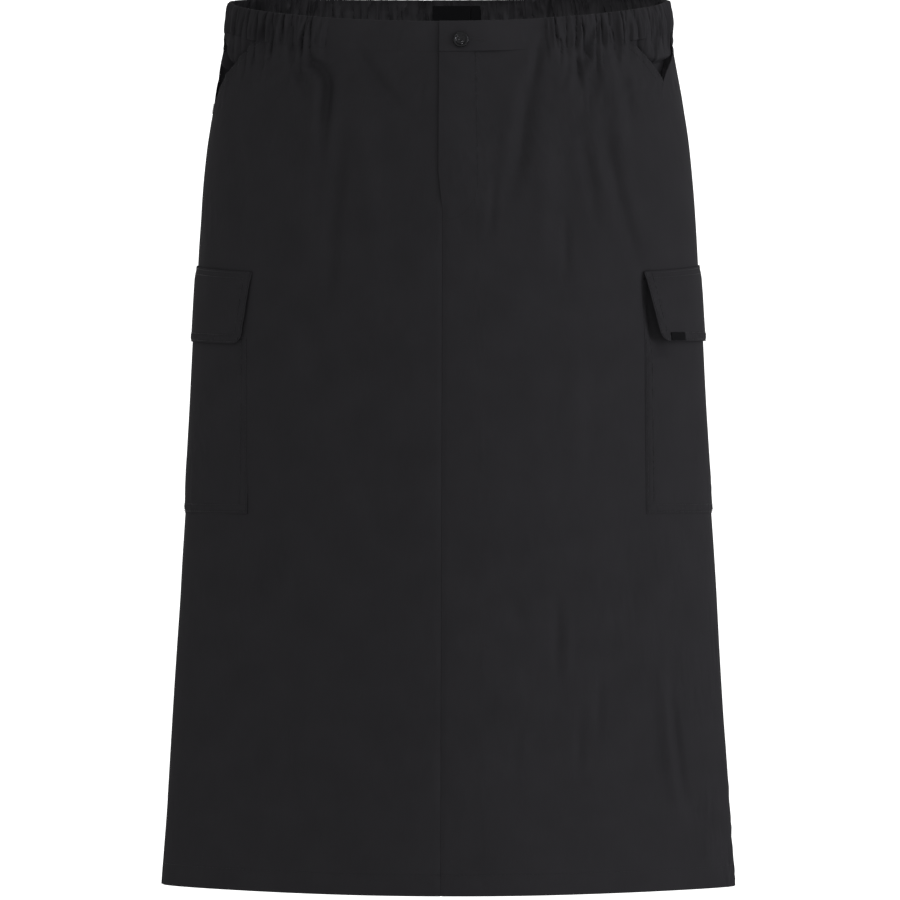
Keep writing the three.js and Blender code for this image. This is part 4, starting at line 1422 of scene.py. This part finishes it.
snoot = bpy.data.lights.new("waist_snoot", "SPOT")
snoot.energy = 300
snoot.spot_size = math.radians(10.0)
snoot.spot_blend = 0.4
snoot.shadow_soft_size = 0.05
aim_lamp("waist_snoot", snoot, (-0.3, -1.85, 1.95), (0.04, 0.1, 0.1))

# %% [markdown]
# The camera is 4.3 m away and a little to the wearer's left of the middle. Its lens is worked
# out from the size of a pixel, so the skirt fills the frame as the real one does.

# %% World and camera
world = bpy.data.worlds.new("studio")
world.use_nodes = True
world.node_tree.nodes["Background"].inputs["Color"].default_value = (1, 1, 1, 1)
world.node_tree.nodes["Background"].inputs["Strength"].default_value = 0.9
scene.world = world
scene.view_settings.view_transform = "Standard"

FRAME_PIXELS = 900
MM_PER_PIXEL = 0.85
MIDDLE_PIXEL = 448
SENSOR_WIDTH = 36.0
CAMERA_AWAY = 4.3
CAMERA_TURN = math.radians(2.0)
CAMERA_Z = (WAIST_Z - MIDDLE_PIXEL * MM_PER_PIXEL) * MM

camera_data = bpy.data.cameras.new("camera")
camera_data.sensor_width = SENSOR_WIDTH
camera_data.lens = SENSOR_WIDTH * CAMERA_AWAY / (FRAME_PIXELS * MM_PER_PIXEL * MM)
camera_data.shift_x = 2 / FRAME_PIXELS
camera = bpy.data.objects.new("camera", camera_data)
camera.location = (CAMERA_AWAY * math.sin(CAMERA_TURN), -CAMERA_AWAY * math.cos(CAMERA_TURN),
                   CAMERA_Z)
camera.rotation_euler = (math.pi / 2, 0, CAMERA_TURN)
scene.collection.objects.link(camera)
scene.camera = camera

# %% [markdown]
# ## What stands for what
# Each modelled piece takes the place of its plain solid and rides on the one rigid body. A cut
# is width, length and area in metres, laid flat and without turnings: its widest row and longest
# column, read off this cloth with every gather and fold drawn out.

# %% Each piece with its node, its cut, how it is held and what it rests on; the node is hidden, the piece and its stitching ride on the root, and the cut is printed
PIECES = [
    (front_left, "front_panel_left", (0.283, 0.743, 0.1845), "gathered", [band_left, back]),
    (front_right, "front_panel_right", (0.278, 0.755, 0.1877), "gathered", [band_right, back]),
    (back, "back_panel", (0.586, 0.759, 0.4029), "gathered", [band_back]),
    (band_left, "waistband_front_left", (0.299, 0.027, 0.0073), "gathered", [band_back]),
    (band_right, "waistband_front_right", (0.319, 0.027, 0.0079), "gathered", [band_back]),
    (band_back, "waistband_back", (0.692, 0.0285, 0.0168), "gathered", [band_left, band_right]),
    (facing_left, "hip_facing_left", (0.103, 0.071, 0.0028), "hung", [band_left, back]),
    (facing_right, "hip_facing_right", (0.098, 0.115, 0.0040), "hung", [band_right, back]),
    (pocket_left, "cargo_pocket_left", (0.188, 0.199, 0.0358), "laid", [front_left, back]),
    (pocket_right, "cargo_pocket_right", (0.195, 0.198, 0.0370), "laid", [front_right, back]),
    (flap_left, "pocket_flap_left", (0.180, 0.072, 0.0107), "laid", [pocket_left]),
    (flap_right, "pocket_flap_right", (0.193, 0.071, 0.0118), "laid", [pocket_right]),
    (waist_label, "waist_label", (0.033, 0.013, 0.000428), "laid", [band_back]),
]
SMALL = {size_tab: "size_tab", flap_tag: "flap_tag"}
for piece, node in SMALL.items():
    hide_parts(node)
SEWN_ON = {
    front_left: [fly_row, mouth_left, hem_left],
    front_right: [mouth_right, hem_right],
    back: [hem_back, tacks],
    band_back: [size_tab],
    band_left: [buttonhole],
    pocket_left: [pocket_row_left],
    pocket_right: [pocket_row_right],
    flap_left: [flap_rows_left, flap_tag],
    flap_right: [flap_rows_right],
}
for piece, node, (width, length, area), held, rests in PIECES:
    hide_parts(node)
    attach(piece, "root")
    sewn = SEWN_ON.get(piece, [])
    for row in sewn:
        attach(row, "root")
    print(f"{node}: cut {width} x {length} m, {area} m2")

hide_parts("waist_button")
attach(button, "root")

# %% [markdown]
# ## Size against the frame
# The dressed skirt should keep to the box of the plain solids, so both boxes are printed
# side by side.

# %% Print the sizes
scene_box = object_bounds()
for label, box in (("cad", cad_box), ("scene", scene_box)):
    print(label, [[round(value, 4) for value in corner] for corner in box])
